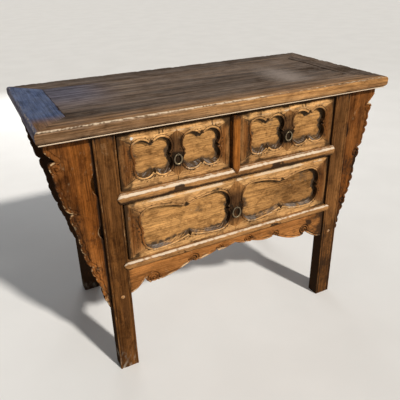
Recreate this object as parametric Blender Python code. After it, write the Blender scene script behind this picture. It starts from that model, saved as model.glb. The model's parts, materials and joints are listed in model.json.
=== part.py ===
"""Altar cabinet of carved hardwood: leaning legs, two drawers over one wide drawer, carved wings.

All sizes are in metres. X runs along the width, the front faces -Y and the floor is Z = 0.
The carcase and the drawers are laid out upright and then spread, so that the legs lean outwards
from the underside of the top to the floor and every rail, panel and drawer leans with them.
"""

import math
from dataclasses import dataclass

import bmesh
import bpy
from mathutils import Matrix, Vector

# Fits
SEAT_GAP = 0.0003
DRAWER_PLAY = 0.001
CUT_PAST = 0.004

# Top: a mitred frame round a floating panel
TOP_WIDTH = 1.165
TOP_DEPTH = 0.530
HEIGHT = 0.860
TOP_THICKNESS = 0.038
END_RAIL_WIDTH = 0.098
LONG_RAIL_WIDTH = 0.100
EDGE_ROUND = 0.010
EDGE_FACE = 0.012
EDGE_UNDERCUT = 0.009
EDGE_FILLET = 0.004
PANEL_THICKNESS = 0.014
TONGUE_LENGTH = 0.008
TONGUE_THICKNESS = 0.005
TONGUE_COVER = 0.005
BATTEN_WIDTH = 0.040
BATTEN_SPACING = 0.440

# Legs: the stance is measured over the legs at the top, the spread is added at the floor
STANCE_WIDTH = 0.882
STANCE_DEPTH = 0.493
LEG_WIDTH = 0.062
LEG_DEPTH = 0.046
FOOT_SPREAD_X = 0.005
FOOT_SPREAD_Y = 0.014
LEG_TENON_SHOULDER = 0.015
LEG_TENON_LENGTH = 0.020

# Rails and the openings between them, from the top down
TOP_RAIL_HEIGHT = 0.012
TOP_RAIL_SETBACK = 0.0085
TOP_RAIL_SHOULDER = 0.003
UPPER_OPENING = 0.166
MIDDLE_RAIL_HEIGHT = 0.035
LOWER_OPENING = 0.196
BOTTOM_RAIL_HEIGHT = 0.023
RAIL_SHOULDER = 0.007
RAIL_TENON = 0.016
NOSE_PROUD = 0.009
NOSE_POINT = 0.0015
MIDDLE_TIP = 0.013
BOTTOM_TIP = 0.015
DIVIDER_WIDTH = 0.027
DIVIDER_PLACE = -0.0075

# Sides and back
SIDE_RAIL_THICKNESS = 0.024
SIDE_SETBACK = 0.006
SIDE_PANEL_THICKNESS = 0.012
SIDE_PANEL_SETBACK = 0.016
BACK_RAIL_THICKNESS = 0.022
BACK_PANEL_THICKNESS = 0.010

# Runners under the drawers and the guide between the upper two
RUNNER_THICKNESS = 0.018
RUNNER_INNER = 0.030
CENTRE_RUNNER_WIDTH = 0.080
GUIDE_HEIGHT = 0.020
GUIDE_INSET = 0.001

# Drawer boxes
DRAWER_RECESS = 0.006
FRAME_THICKNESS = 0.014
GROUND_THICKNESS = 0.012
BOX_WALL = 0.010
BOX_TOP_SPACE = 0.010
BOX_BACK_SPACE = 0.010
BOTTOM_THICKNESS = 0.007
BOTTOM_RAISE = 0.008
BOTTOM_GROOVE = 0.005

# Carved face of the drawer fronts
FACE_SLOPE_RUN = 0.012
FACE_SLOPE_DEPTH = 0.004
MULLION_TIP_INSET = 0.006
CUSP_MARGIN = 0.0015

# Ring pulls on split pins
RING_WIRE = 0.0020
EYE_WIRE = 0.0011
EYE_PLAY = 0.0005
EYE_STANDOFF = 0.0050
EYE_NECK = 0.0060
PIN_SPLIT = 0.0004
PIN_BEND = 0.010
SLOT_PLAY = 0.0004

# Wings beside the legs and the apron under the bottom rail
WING_THICKNESS = 0.022
WING_SETBACK = 0.012
WING_REACH = 0.123
WING_CORNER = 0.026
WING_FIRST_NOTCH = 0.097
WING_FIRST_CURL = 0.030
LEAF_BUMPS = 3
LEAF_BUMP_HEIGHT = 0.0025
APRON_THICKNESS = 0.018
APRON_SETBACK = 0.008
APRON_CENTRE = 0.028
APRON_LEFT_END = 0.100
APRON_RIGHT_END = 0.114

# Smoothness of the curves
NOSE_STEPS = 8
CURVE_STEPS = 6
CURL_STEPS = 4
RING_STEPS = 28
RING_SIDES = 8


@dataclass(frozen=True)
class Leaf:
    """A leaf of a wing's edge: reaches are from the leg, falls follow on from one another."""

    lobe_reach: float
    lobe_fall: float
    shoulder_reach: float
    shoulder_fall: float
    notch_reach: float
    notch_fall: float


@dataclass(frozen=True)
class Gap:
    """A lens-shaped gap between a wing and its leg."""

    middle: float
    length: float
    depth: float


@dataclass(frozen=True)
class Scallop:
    """A scroll of the apron's lower edge: it swells to its tip and curls back to a notch."""

    run: float
    tip_drop: float
    curl_run: float
    notch_drop: float


@dataclass(frozen=True)
class FrontLayout:
    """The carved layout of a drawer front: two cusped cartouches either side of a mullion."""

    side_border: float
    top_border: float
    bottom_border: float
    mullion: float
    lobe_radius: float
    head_cusp: float
    side_cusp: float
    arch: float
    ring_radius: float
    pull_drop: float


@dataclass(frozen=True)
class Drawer:
    """A drawer's name, the opening that it fills and the layout of its front."""

    name: str
    left: float
    right: float
    bottom: float
    top: float
    layout: FrontLayout


WING_LEAVES = (
    Leaf(lobe_reach=0.1165, lobe_fall=0.033, shoulder_reach=0.0945, shoulder_fall=0.108,
         notch_reach=0.0740, notch_fall=0.018),
    Leaf(lobe_reach=0.0860, lobe_fall=0.027, shoulder_reach=0.0580, shoulder_fall=0.139,
         notch_reach=0.0420, notch_fall=0.020),
    Leaf(lobe_reach=0.0480, lobe_fall=0.018, shoulder_reach=0.0130, shoulder_fall=0.125,
         notch_reach=0.0025, notch_fall=0.028),
)
WING_GAPS = (
    Gap(middle=0.136, length=0.087, depth=0.018),
    Gap(middle=0.294, length=0.060, depth=0.014),
)
APRON_LEFT_SCALLOPS = (
    Scallop(run=0.060, tip_drop=0.042, curl_run=0.010, notch_drop=0.037),
    Scallop(run=0.080, tip_drop=0.053, curl_run=0.010, notch_drop=0.048),
    Scallop(run=0.147, tip_drop=0.084, curl_run=0.019, notch_drop=0.060),
)
APRON_RIGHT_SCALLOPS = (
    Scallop(run=0.058, tip_drop=0.044, curl_run=0.010, notch_drop=0.041),
    Scallop(run=0.060, tip_drop=0.055, curl_run=0.032, notch_drop=0.048),
    Scallop(run=0.115, tip_drop=0.088, curl_run=0.026, notch_drop=0.074),
)
UPPER_LAYOUT = FrontLayout(
    side_border=0.0365, top_border=0.024, bottom_border=0.029, mullion=0.037, lobe_radius=0.030,
    head_cusp=0.013, side_cusp=0.009, arch=0.004, ring_radius=0.0115, pull_drop=0.004)
LOWER_LAYOUT = FrontLayout(
    side_border=0.041, top_border=0.035, bottom_border=0.026, mullion=0.050, lobe_radius=0.045,
    head_cusp=0.020, side_cusp=0.009, arch=0.005, ring_radius=0.0138, pull_drop=0.0055)

# Finishes: colour, roughness, metallic
TOP_WOOD = ((0.085, 0.045, 0.028), 0.42, 0.0)
LEG_WOOD = ((0.235, 0.120, 0.058), 0.50, 0.0)
CARVED_WOOD = ((0.330, 0.150, 0.055), 0.52, 0.0)
FRONT_WOOD = ((0.390, 0.230, 0.110), 0.55, 0.0)
DARK_WOOD = ((0.110, 0.058, 0.034), 0.50, 0.0)
INNER_WOOD = ((0.300, 0.190, 0.110), 0.75, 0.0)
OLD_BRASS = ((0.360, 0.300, 0.210), 0.40, 1.0)

# Levels and planes that follow from the sizes
UNDER_TOP = HEIGHT - TOP_THICKNESS
LEG_OUTER_X = STANCE_WIDTH / 2
LEG_INNER_X = LEG_OUTER_X - LEG_WIDTH
LEG_FACE_Y = STANCE_DEPTH / 2
LEG_REAR_Y = LEG_FACE_Y - LEG_DEPTH
UPPER_HEAD = UNDER_TOP - TOP_RAIL_HEIGHT
UPPER_SILL = UPPER_HEAD - UPPER_OPENING
LOWER_HEAD = UPPER_SILL - MIDDLE_RAIL_HEIGHT
LOWER_SILL = LOWER_HEAD - LOWER_OPENING
RAIL_FOOT = LOWER_SILL - BOTTOM_RAIL_HEIGHT
NOSE_BACK_Y = -LEG_FACE_Y - SEAT_GAP
FRAME_FACE_Y = -LEG_FACE_Y + DRAWER_RECESS
GROUND_FACE_Y = FRAME_FACE_Y + FRAME_THICKNESS + SEAT_GAP
GROUND_BACK_Y = GROUND_FACE_Y + GROUND_THICKNESS
SIDE_PANEL_OUTER_X = LEG_OUTER_X - SIDE_PANEL_SETBACK
SIDE_PANEL_INNER_X = SIDE_PANEL_OUTER_X - SIDE_PANEL_THICKNESS
SIDE_RAIL_OUTER_X = LEG_OUTER_X - SIDE_SETBACK
SIDE_RAIL_INNER_X = SIDE_RAIL_OUTER_X - SIDE_RAIL_THICKNESS
EYE_HOLE = RING_WIRE + EYE_PLAY
PIN_OFFSET = EYE_WIRE + PIN_SPLIT / 2


def spread(point):
    """Lean a point of the upright layout outwards with the legs; the top stays where it is."""
    fall = max(0.0, UNDER_TOP - point.z) / UNDER_TOP
    return Vector((point.x * (1 + FOOT_SPREAD_X / LEG_OUTER_X * fall),
                   point.y * (1 + FOOT_SPREAD_Y / LEG_FACE_Y * fall),
                   point.z))


def clear_scene():
    """Remove every object, so that the model starts empty."""
    for obj in list(bpy.data.objects):
        bpy.data.objects.remove(obj, do_unlink=True)


def make_material(name, finish):
    """A plain material with a finish's colour, roughness and metallic value."""
    colour, roughness, metallic = finish
    material = bpy.data.materials.new(name)
    material.use_nodes = True
    shader = material.node_tree.nodes["Principled BSDF"]
    shader.inputs["Base Color"].default_value = (*colour, 1.0)
    shader.inputs["Roughness"].default_value = roughness
    shader.inputs["Metallic"].default_value = metallic
    return material


def place(obj, pivot, parent):
    """Link an object and put its origin at a world point, under its parent if it has one."""
    bpy.context.collection.objects.link(obj)
    obj.parent = parent
    obj.location = pivot - parent.location if parent else pivot


def add_piece(name, bm, finish, parent=None, leans=True):
    """Turn a layout mesh into a named piece with its origin at its middle."""
    obj = bpy.data.objects.new(name, mesh_of(name, bm, leans))
    corners = [Vector(corner) for corner in obj.bound_box]
    middle = (corners[0] + corners[6]) / 2
    obj.data.transform(Matrix.Translation(-middle))
    obj.data.materials.append(make_material(name + "_finish", finish))
    place(obj, middle, parent)
    return obj


def mesh_of(name, bm, leans):
    """Close a bmesh into mesh data, spread with the legs where it leans."""
    if leans:
        for vert in bm.verts:
            vert.co = spread(vert.co)
    bmesh.ops.recalc_face_normals(bm, faces=bm.faces)
    mesh = bpy.data.meshes.new(name)
    bm.to_mesh(mesh)
    bm.free()
    return mesh


def smooth(obj, angle=math.radians(40)):
    """Shade a piece smooth apart from its sharp edges."""
    obj.data.shade_smooth()
    obj.data.set_sharp_from_angle(angle=angle)


def add_cutter(name, solids, leans=True):
    """One hidden cutter made of separate solids."""
    bm = bmesh.new()
    for solid in solids:
        mesh = mesh_of(name, solid, leans)
        bm.from_mesh(mesh)
        bpy.data.meshes.remove(mesh)
    cutter = bpy.data.objects.new(name, mesh_of(name, bm, False))
    cutter.hide_render = True
    cutter.display_type = "WIRE"
    bpy.context.collection.objects.link(cutter)
    return cutter


def apply_cutter(obj, cutter, operation="DIFFERENCE"):
    """Let a cutter shape a piece."""
    modifier = obj.modifiers.new(cutter.name, "BOOLEAN")
    modifier.operation = operation
    modifier.solver = "EXACT"
    modifier.object = cutter


def box(low, high):
    """A rectangular solid between two corners."""
    low, high = Vector(low), Vector(high)
    bm = bmesh.new()
    scale = Matrix.Diagonal(high - low).to_4x4()
    bmesh.ops.create_cube(bm, size=1.0, matrix=Matrix.Translation((low + high) / 2) @ scale)
    return bm


def prism(outline, front, back):
    """A solid with an outline in X and Z that reaches from front to back along Y."""
    bm = bmesh.new()
    face = bm.faces.new([bm.verts.new((x, front, z)) for x, z in outline])
    extrude(bm, face, (0.0, back - front, 0.0))
    return bm


def loft(loops):
    """A solid through closed loops of points, with a flat face on the first and the last."""
    bm = bmesh.new()
    rings = [[bm.verts.new(point) for point in loop] for loop in loops]
    for first, second in zip(rings, rings[1:]):
        for i in range(len(first)):
            j = (i + 1) % len(first)
            bm.faces.new((first[i], first[j], second[j], second[i]))
    bm.faces.new(rings[0])
    bm.faces.new(rings[-1])
    return bm


def extrude(bm, face, step):
    """Extrude one face of a solid by a step."""
    swept = bmesh.ops.extrude_face_region(bm, geom=[face, *face.edges, *face.verts])
    moved = [item for item in swept["geom"] if isinstance(item, bmesh.types.BMVert)]
    bmesh.ops.translate(bm, vec=step, verts=moved)


def add_tenon(bm, face, shoulder, length):
    """Leave a shoulder round an end face and draw the rest out as a tenon."""
    step = face.normal * length
    bmesh.ops.inset_region(bm, faces=[face], thickness=shoulder, use_even_offset=True)
    extrude(bm, face, step)


@dataclass(frozen=True)
class Bar:
    """A straight rail along one axis, with a tenon on each end."""

    low: tuple
    high: tuple
    axis: int
    shoulder: float

    def solid(self):
        """The rail with both its tenons."""
        bm = box(self.low, self.high)
        bmesh.ops.recalc_face_normals(bm, faces=bm.faces)
        for face in [face for face in bm.faces if abs(face.normal[self.axis]) > 0.9]:
            add_tenon(bm, face, self.shoulder, RAIL_TENON)
        return bm

    def mortise(self, side):
        """The pocket for the tenon on the lower or higher end."""
        low = [value + self.shoulder - SEAT_GAP for value in self.low]
        high = [value - self.shoulder + SEAT_GAP for value in self.high]
        reach = RAIL_TENON + SEAT_GAP
        if side > 0:
            low[self.axis] = self.high[self.axis]
            high[self.axis] = self.high[self.axis] + reach
        else:
            low[self.axis] = self.low[self.axis] - reach
            high[self.axis] = self.low[self.axis]
        return box(low, high)


def long_bar(front, back, bottom, top, shoulder):
    """A rail between a left and a right leg."""
    end = LEG_INNER_X - SEAT_GAP
    return Bar((-end, front, bottom), (end, back, top), 0, shoulder)


def side_bar(side):
    """The bottom rail between a front and a back leg."""
    end = LEG_REAR_Y - SEAT_GAP
    xs = sorted((side * SIDE_RAIL_INNER_X, side * SIDE_RAIL_OUTER_X))
    return Bar((xs[0], -end, RAIL_FOOT), (xs[1], end, LOWER_SILL), 1, RAIL_SHOULDER)


TOP_BAR = long_bar(-LEG_FACE_Y + TOP_RAIL_SETBACK, -LEG_REAR_Y, UPPER_HEAD, UNDER_TOP - SEAT_GAP,
                   TOP_RAIL_SHOULDER)
MIDDLE_BAR = long_bar(NOSE_BACK_Y, -LEG_REAR_Y, LOWER_HEAD, UPPER_SILL, RAIL_SHOULDER)
BOTTOM_BAR = long_bar(NOSE_BACK_Y, -LEG_REAR_Y, RAIL_FOOT, LOWER_SILL, RAIL_SHOULDER)
BACK_MIDDLE_BAR = long_bar(LEG_REAR_Y, LEG_REAR_Y + BACK_RAIL_THICKNESS, LOWER_HEAD, UPPER_SILL,
                           RAIL_SHOULDER)
BACK_BOTTOM_BAR = long_bar(LEG_REAR_Y, LEG_FACE_Y - SIDE_SETBACK, RAIL_FOOT, LOWER_SILL,
                           RAIL_SHOULDER)


def edge_profile(width):
    """The section of a top rail: distance in from its outer edge, and level."""
    steps = [i / CURL_STEPS * math.pi / 2 for i in range(CURL_STEPS + 1)]
    turn = HEIGHT - EDGE_ROUND - EDGE_FACE
    sweep = turn - UNDER_TOP - EDGE_FILLET
    groove_top = HEIGHT - TONGUE_COVER + SEAT_GAP
    groove_foot = HEIGHT - TONGUE_COVER - TONGUE_THICKNESS - SEAT_GAP
    points = [(EDGE_ROUND * (1 - math.sin(a)), HEIGHT - EDGE_ROUND * (1 - math.cos(a))) for a in steps]
    points += [(EDGE_UNDERCUT * (1 - math.cos(a)), turn - sweep * math.sin(a)) for a in steps]
    points += [(EDGE_UNDERCUT, UNDER_TOP), (width, UNDER_TOP), (width, groove_foot),
               (width - TONGUE_LENGTH, groove_foot), (width - TONGUE_LENGTH, groove_top),
               (width, groove_top), (width, HEIGHT)]
    return points


def build_top():
    """The mitred frame, the panel that floats in its groove and the two battens under it."""
    sockets = {-1: [], 1: []}
    for side in (-1, 1):
        for depth in (-1, 1):
            sockets[depth].append(leg_socket(side, depth))
    for name, depth in (("top_front_rail", -1), ("top_back_rail", 1)):
        profile = edge_profile(LONG_RAIL_WIDTH)
        mitre = END_RAIL_WIDTH / LONG_RAIL_WIDTH
        loops = [[(end * (TOP_WIDTH / 2 - inset * mitre - SEAT_GAP), depth * (TOP_DEPTH / 2 - inset), z)
                  for inset, z in profile] for end in (-1, 1)]
        rail = add_piece(name, loft(loops), TOP_WOOD, leans=False)
        apply_cutter(rail, add_cutter(name + "_sockets", sockets[depth], leans=False))
    for name, side in (("top_left_end", -1), ("top_right_end", 1)):
        profile = edge_profile(END_RAIL_WIDTH)
        mitre = LONG_RAIL_WIDTH / END_RAIL_WIDTH
        loops = [[(side * (TOP_WIDTH / 2 - inset), end * (TOP_DEPTH / 2 - inset * mitre), z)
                  for inset, z in profile] for end in (-1, 1)]
        add_piece(name, loft(loops), TOP_WOOD, leans=False)
    build_panel()


def build_panel():
    """The floating panel, tongued on four sides, and the battens that stiffen it."""
    half_x = TOP_WIDTH / 2 - END_RAIL_WIDTH - SEAT_GAP
    half_y = TOP_DEPTH / 2 - LONG_RAIL_WIDTH - SEAT_GAP
    tongue = TONGUE_LENGTH - SEAT_GAP
    foot = HEIGHT - PANEL_THICKNESS
    tongue_top = HEIGHT - TONGUE_COVER
    tongue_foot = tongue_top - TONGUE_THICKNESS
    levels = ((foot, 0.0), (tongue_foot, 0.0), (tongue_foot, tongue), (tongue_top, tongue),
              (tongue_top, 0.0), (HEIGHT, 0.0))
    loops = [[(x * (half_x + grow), y * (half_y + grow), z)
              for x, y in ((-1, -1), (1, -1), (1, 1), (-1, 1))] for z, grow in levels]
    add_piece("top_panel", loft(loops), TOP_WOOD, leans=False)
    for name, side in (("top_batten_left", -1), ("top_batten_right", 1)):
        middle = side * BATTEN_SPACING / 2
        add_piece(name, box((middle - BATTEN_WIDTH / 2, -half_y, UNDER_TOP),
                            (middle + BATTEN_WIDTH / 2, half_y, foot - SEAT_GAP)),
                  INNER_WOOD, leans=False)


def leg_span(side, depth):
    """The corners of a leg's section: nearest and furthest X, and nearest and furthest Y."""
    xs = sorted((side * LEG_INNER_X, side * LEG_OUTER_X))
    ys = sorted((depth * LEG_REAR_Y, depth * LEG_FACE_Y))
    return xs, ys


def leg_socket(side, depth):
    """The pocket in the top for a leg's tenon."""
    (x0, x1), (y0, y1) = leg_span(side, depth)
    inset = LEG_TENON_SHOULDER - SEAT_GAP
    return box((x0 + inset, y0 + inset, UNDER_TOP - CUT_PAST),
               (x1 - inset, y1 - inset, UNDER_TOP + LEG_TENON_LENGTH))


def build_legs():
    """Four legs, tenoned into the top and mortised for every rail that meets them."""
    front_bars = (TOP_BAR, MIDDLE_BAR, BOTTOM_BAR)
    back_bars = (BACK_MIDDLE_BAR, BACK_BOTTOM_BAR)
    for depth, row, bars in ((-1, "front", front_bars), (1, "back", back_bars)):
        for side, hand in ((-1, "left"), (1, "right")):
            (x0, x1), (y0, y1) = leg_span(side, depth)
            bm = box((x0, y0, 0.0), (x1, y1, UNDER_TOP - SEAT_GAP))
            bmesh.ops.recalc_face_normals(bm, faces=bm.faces)
            head = max(bm.faces, key=lambda face: face.calc_center_median().z)
            add_tenon(bm, head, LEG_TENON_SHOULDER, LEG_TENON_LENGTH)
            name = f"leg_{row}_{hand}"
            leg = add_piece(name, bm, LEG_WOOD)
            pockets = [bar.mortise(side) for bar in bars]
            pockets.append(side_bar(side).mortise(depth))
            apply_cutter(leg, add_cutter(name + "_mortises", pockets))


def nosed_rail(bar, tip):
    """A rail with a half-round nose that runs on over the legs and ends in two points."""
    middle = (bar.low[2] + bar.high[2]) / 2
    half = (bar.high[2] - bar.low[2]) / 2
    end = bar.high[0]
    turns = [math.pi * (i / NOSE_STEPS - 0.5) for i in range(NOSE_STEPS + 1)]
    stations = ((-end - tip, NOSE_POINT), (-end, half), (end, half), (end + tip, NOSE_POINT))
    bm = loft([[(x, NOSE_BACK_Y - NOSE_PROUD * size / half * math.cos(a), middle + size * math.sin(a))
                for a in turns] for x, size in stations])
    bmesh.ops.recalc_face_normals(bm, faces=bm.faces)
    backs = [face for face in bm.faces if face.normal.y > 0.9]
    body = min(backs, key=lambda face: abs(face.calc_center_median().x))
    extrude(bm, body, (0.0, bar.high[1] - NOSE_BACK_Y, 0.0))
    bmesh.ops.recalc_face_normals(bm, faces=bm.faces)
    ends = [face for face in bm.faces
            if abs(face.normal.x) > 0.9 and face.calc_center_median().y > NOSE_BACK_Y]
    for face in ends:
        add_tenon(bm, face, bar.shoulder, RAIL_TENON)
    return bm


def divider_tip():
    """The level of the divider's point, on the middle line of the rail that it notches."""
    return (UPPER_SILL + LOWER_HEAD) / 2


def divider_solid():
    """An upright with a half-round nose, pointed below where it is let into the middle rail."""
    half = DIVIDER_WIDTH / 2
    foot = UPPER_SILL + SEAT_GAP
    head = UPPER_HEAD - SEAT_GAP
    tip = divider_tip()
    bm = bmesh.new()
    turns = [math.pi * (i / NOSE_STEPS - 0.5) for i in range(NOSE_STEPS + 1)]
    across = [(half * math.sin(a), NOSE_BACK_Y - NOSE_PROUD * math.cos(a)) for a in turns]
    upper = [bm.verts.new((x, y, head)) for x, y in across]
    lower = [bm.verts.new((x, y, tip + (foot - tip) * abs(x) / half)) for x, y in across]
    apex = bm.verts.new((0.0, NOSE_BACK_Y, tip))
    rear_head = [bm.verts.new((x, -LEG_REAR_Y, head)) for x in (half, -half)]
    rear_foot = [bm.verts.new((x, -LEG_REAR_Y, foot)) for x in (half, -half)]
    centre = NOSE_STEPS // 2
    for i in range(NOSE_STEPS):
        bm.faces.new((upper[i], upper[i + 1], lower[i + 1], lower[i]))
    bm.faces.new(upper + rear_head)
    bm.faces.new(lower[:centre + 1] + [apex])
    bm.faces.new(lower[centre:] + [apex])
    bm.faces.new((lower[0], apex, lower[-1]))
    bm.faces.new((lower[0], lower[-1], *rear_foot))
    bm.faces.new((*rear_head, rear_foot[1], rear_foot[0]))
    bm.faces.new((upper[0], lower[0], rear_foot[1], rear_head[1]))
    bm.faces.new((upper[-1], rear_head[0], rear_foot[0], lower[-1]))
    bmesh.ops.translate(bm, verts=bm.verts[:], vec=(DIVIDER_PLACE, 0.0, 0.0))
    return bm


def divider_notch():
    """The notch in the middle rail's nose for the divider's point."""
    slope = DIVIDER_WIDTH / 2 / (UPPER_SILL - divider_tip())
    point = divider_tip() - SEAT_GAP * 2
    head = UPPER_SILL + CUT_PAST
    half = slope * (head - point)
    return prism([(DIVIDER_PLACE - half, head), (DIVIDER_PLACE, point), (DIVIDER_PLACE + half, head)],
                 NOSE_BACK_Y - NOSE_PROUD - CUT_PAST, NOSE_BACK_Y + SEAT_GAP)


def build_front():
    """The three front rails, the divider between the upper drawers and the carved apron."""
    add_piece("front_top_rail", TOP_BAR.solid(), DARK_WOOD)
    middle = add_piece("front_middle_rail", nosed_rail(MIDDLE_BAR, MIDDLE_TIP), LEG_WOOD)
    apply_cutter(middle, add_cutter("divider_notch", [divider_notch()]))
    add_piece("front_bottom_rail", nosed_rail(BOTTOM_BAR, BOTTOM_TIP), LEG_WOOD)
    add_piece("drawer_divider", divider_solid(), LEG_WOOD)
    front = -LEG_FACE_Y + APRON_SETBACK
    add_piece("front_apron", prism(apron_outline(), front, front + APRON_THICKNESS), CARVED_WOOD)


def ease(start, end, share):
    """A value that leaves its start and reaches its end without a kink."""
    return start + (end - start) * (1 - math.cos(math.pi * share)) / 2


def swell(start, end, share):
    """A value that leaves its start at once and settles level at its end."""
    return start + (end - start) * math.sin(share * math.pi / 2)


def shares(count):
    """The shares of a curve after its first point."""
    return [(i + 1) / count for i in range(count)]


def apron_half(scallops, end_drop):
    """Half of the apron's lower edge, from its middle to its end, and up that end: distance and drop."""
    half = [(0.0, APRON_CENTRE)]
    x, drop = half[0]
    for scallop in scallops:
        half += [(x + scallop.run * s, swell(drop, scallop.tip_drop, s)) for s in shares(CURVE_STEPS)]
        x, drop = half[-1]
        half += [(x + scallop.curl_run * math.sin(s * math.pi / 2),
                  scallop.notch_drop + (drop - scallop.notch_drop) * math.cos(s * math.pi / 2))
                 for s in shares(CURL_STEPS)]
        x, drop = half[-1]
    end = LEG_INNER_X - SEAT_GAP
    half += [(x + (end - x) * s, swell(drop, end_drop, s)) for s in shares(CURVE_STEPS)]
    return half + [(end, SEAT_GAP)]


def apron_outline():
    """The apron's outline: a straight head and a lower edge of scrolls, which differ a little by side."""
    right = apron_half(APRON_RIGHT_SCALLOPS, APRON_RIGHT_END)
    left = [(-across, fall) for across, fall in reversed(apron_half(APRON_LEFT_SCALLOPS, APRON_LEFT_END)[1:])]
    return [(across, RAIL_FOOT - fall) for across, fall in right + left]


def bump(share):
    """The small scallops along a leaf's side."""
    return LEAF_BUMP_HEIGHT * abs(math.sin(math.pi * LEAF_BUMPS * share))


def curl(start, notch_reach, notch_fall):
    """A leaf's end, curling in from its shoulder to the notch under it."""
    reach, fall = start
    return [(notch_reach + (reach - notch_reach) * math.cos(s * math.pi / 2),
             fall + notch_fall * math.sin(s * math.pi / 2)) for s in shares(CURL_STEPS)]


def wing_outline():
    """A wing's outline: reach from the leg, and fall from the top, down its leaves and back up."""
    edge = [(SEAT_GAP, SEAT_GAP), (WING_REACH, SEAT_GAP), (WING_REACH, WING_CORNER)]
    edge += curl(edge[-1], WING_FIRST_NOTCH, WING_FIRST_CURL)
    for leaf in WING_LEAVES:
        reach, fall = edge[-1]
        edge += [(reach + (leaf.lobe_reach - reach) * math.sin(s * math.pi / 2),
                  fall + leaf.lobe_fall * (1 - math.cos(s * math.pi / 2))) for s in shares(CURVE_STEPS)]
        reach, fall = edge[-1]
        edge += [(ease(reach, leaf.shoulder_reach, s) + bump(s), fall + leaf.shoulder_fall * s)
                 for s in shares(LEAF_BUMPS * CURL_STEPS)]
        edge += curl(edge[-1], leaf.notch_reach, leaf.notch_fall)
    edge.append((SEAT_GAP, edge[-1][1]))
    for gap in reversed(WING_GAPS):
        foot = gap.middle + gap.length / 2
        edge.append((SEAT_GAP, foot))
        edge += [(SEAT_GAP + gap.depth * math.sin(math.pi * s), foot - gap.length * s)
                 for s in shares(CURVE_STEPS)]
    return edge


def build_wings():
    """A carved wing outside each leg, under the overhang of the top."""
    for depth, row in ((-1, "front"), (1, "back")):
        for side, hand in ((-1, "left"), (1, "right")):
            outline = [(side * (LEG_OUTER_X + reach), UNDER_TOP - fall) for reach, fall in wing_outline()]
            face = depth * (LEG_FACE_Y - WING_SETBACK)
            add_piece(f"wing_{row}_{hand}", prism(outline, face, face - depth * WING_THICKNESS),
                      CARVED_WOOD)


def build_carcase():
    """The side and back rails and panels."""
    end_y = LEG_REAR_Y - SEAT_GAP
    head = UNDER_TOP - SEAT_GAP
    for side, hand in ((-1, "left"), (1, "right")):
        add_piece(f"side_bottom_rail_{hand}", side_bar(side).solid(), LEG_WOOD)
        xs = sorted((side * SIDE_PANEL_INNER_X, side * SIDE_PANEL_OUTER_X))
        add_piece(f"side_panel_{hand}", box((xs[0], -end_y, LOWER_SILL + SEAT_GAP), (xs[1], end_y, head)),
                  LEG_WOOD)
    add_piece("back_middle_rail", BACK_MIDDLE_BAR.solid(), INNER_WOOD)
    add_piece("back_bottom_rail", BACK_BOTTOM_BAR.solid(), LEG_WOOD)
    end_x = LEG_INNER_X - SEAT_GAP
    face = LEG_REAR_Y + BACK_RAIL_THICKNESS + SEAT_GAP
    add_piece("back_panel", box((-end_x, face, LOWER_SILL + SEAT_GAP),
                                (end_x, face + BACK_PANEL_THICKNESS, head)), INNER_WOOD)


def build_runners():
    """The runners that carry the drawers, and the guide that keeps the upper two apart."""
    end = LEG_REAR_Y - SEAT_GAP
    inner = LEG_INNER_X - RUNNER_INNER
    rows = ((UPPER_SILL, "upper", SIDE_PANEL_INNER_X), (LOWER_SILL, "lower", SIDE_RAIL_INNER_X))
    for level, row, wall in rows:
        for side, hand in ((-1, "left"), (1, "right")):
            xs = sorted((side * inner, side * (wall - SEAT_GAP)))
            add_piece(f"{row}_runner_{hand}", box((xs[0], -end, level - RUNNER_THICKNESS),
                                                  (xs[1], end, level)), INNER_WOOD)
    half = CENTRE_RUNNER_WIDTH / 2
    add_piece("upper_runner_centre", box((DIVIDER_PLACE - half, -end, UPPER_SILL - RUNNER_THICKNESS),
                                         (DIVIDER_PLACE + half, end, UPPER_SILL)), INNER_WOOD)
    half = DIVIDER_WIDTH / 2 - GUIDE_INSET
    foot = UPPER_SILL + SEAT_GAP
    add_piece("upper_guide_centre", box((DIVIDER_PLACE - half, -end, foot),
                                        (DIVIDER_PLACE + half, end, foot + GUIDE_HEIGHT)), INNER_WOOD)


def drawers():
    """The three drawers, each in its opening."""
    post = DIVIDER_WIDTH / 2
    return (Drawer("drawer_left", -LEG_INNER_X, DIVIDER_PLACE - post, UPPER_SILL, UPPER_HEAD, UPPER_LAYOUT),
            Drawer("drawer_right", DIVIDER_PLACE + post, LEG_INNER_X, UPPER_SILL, UPPER_HEAD, UPPER_LAYOUT),
            Drawer("drawer_lower", -LEG_INNER_X, LEG_INNER_X, LOWER_SILL, LOWER_HEAD, LOWER_LAYOUT))


def front_extent(drawer):
    """The edges of a drawer front inside its opening: left, right, bottom and top."""
    return (drawer.left + DRAWER_PLAY, drawer.right - DRAWER_PLAY,
            drawer.bottom + SEAT_GAP, drawer.top - DRAWER_PLAY)


def cartouche_size(drawer):
    """Half the width and half the height of a drawer's cartouches, and the level of their middle."""
    left, right, bottom, top = front_extent(drawer)
    layout = drawer.layout
    half_width = (right - left - 2 * layout.side_border - layout.mullion) / 4
    half_height = (top - bottom - layout.top_border - layout.bottom_border) / 2
    return half_width, half_height, bottom + layout.bottom_border + half_height


def swept_flank(length, rise, count):
    """An arc level at its start that has fallen by rise after length: run and fall."""
    radius = (length ** 2 + rise ** 2) / (2 * rise)
    sweep = math.asin(length / radius)
    return [(radius * math.sin(sweep * s), radius * (1 - math.cos(sweep * s))) for s in shares(count)]


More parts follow.
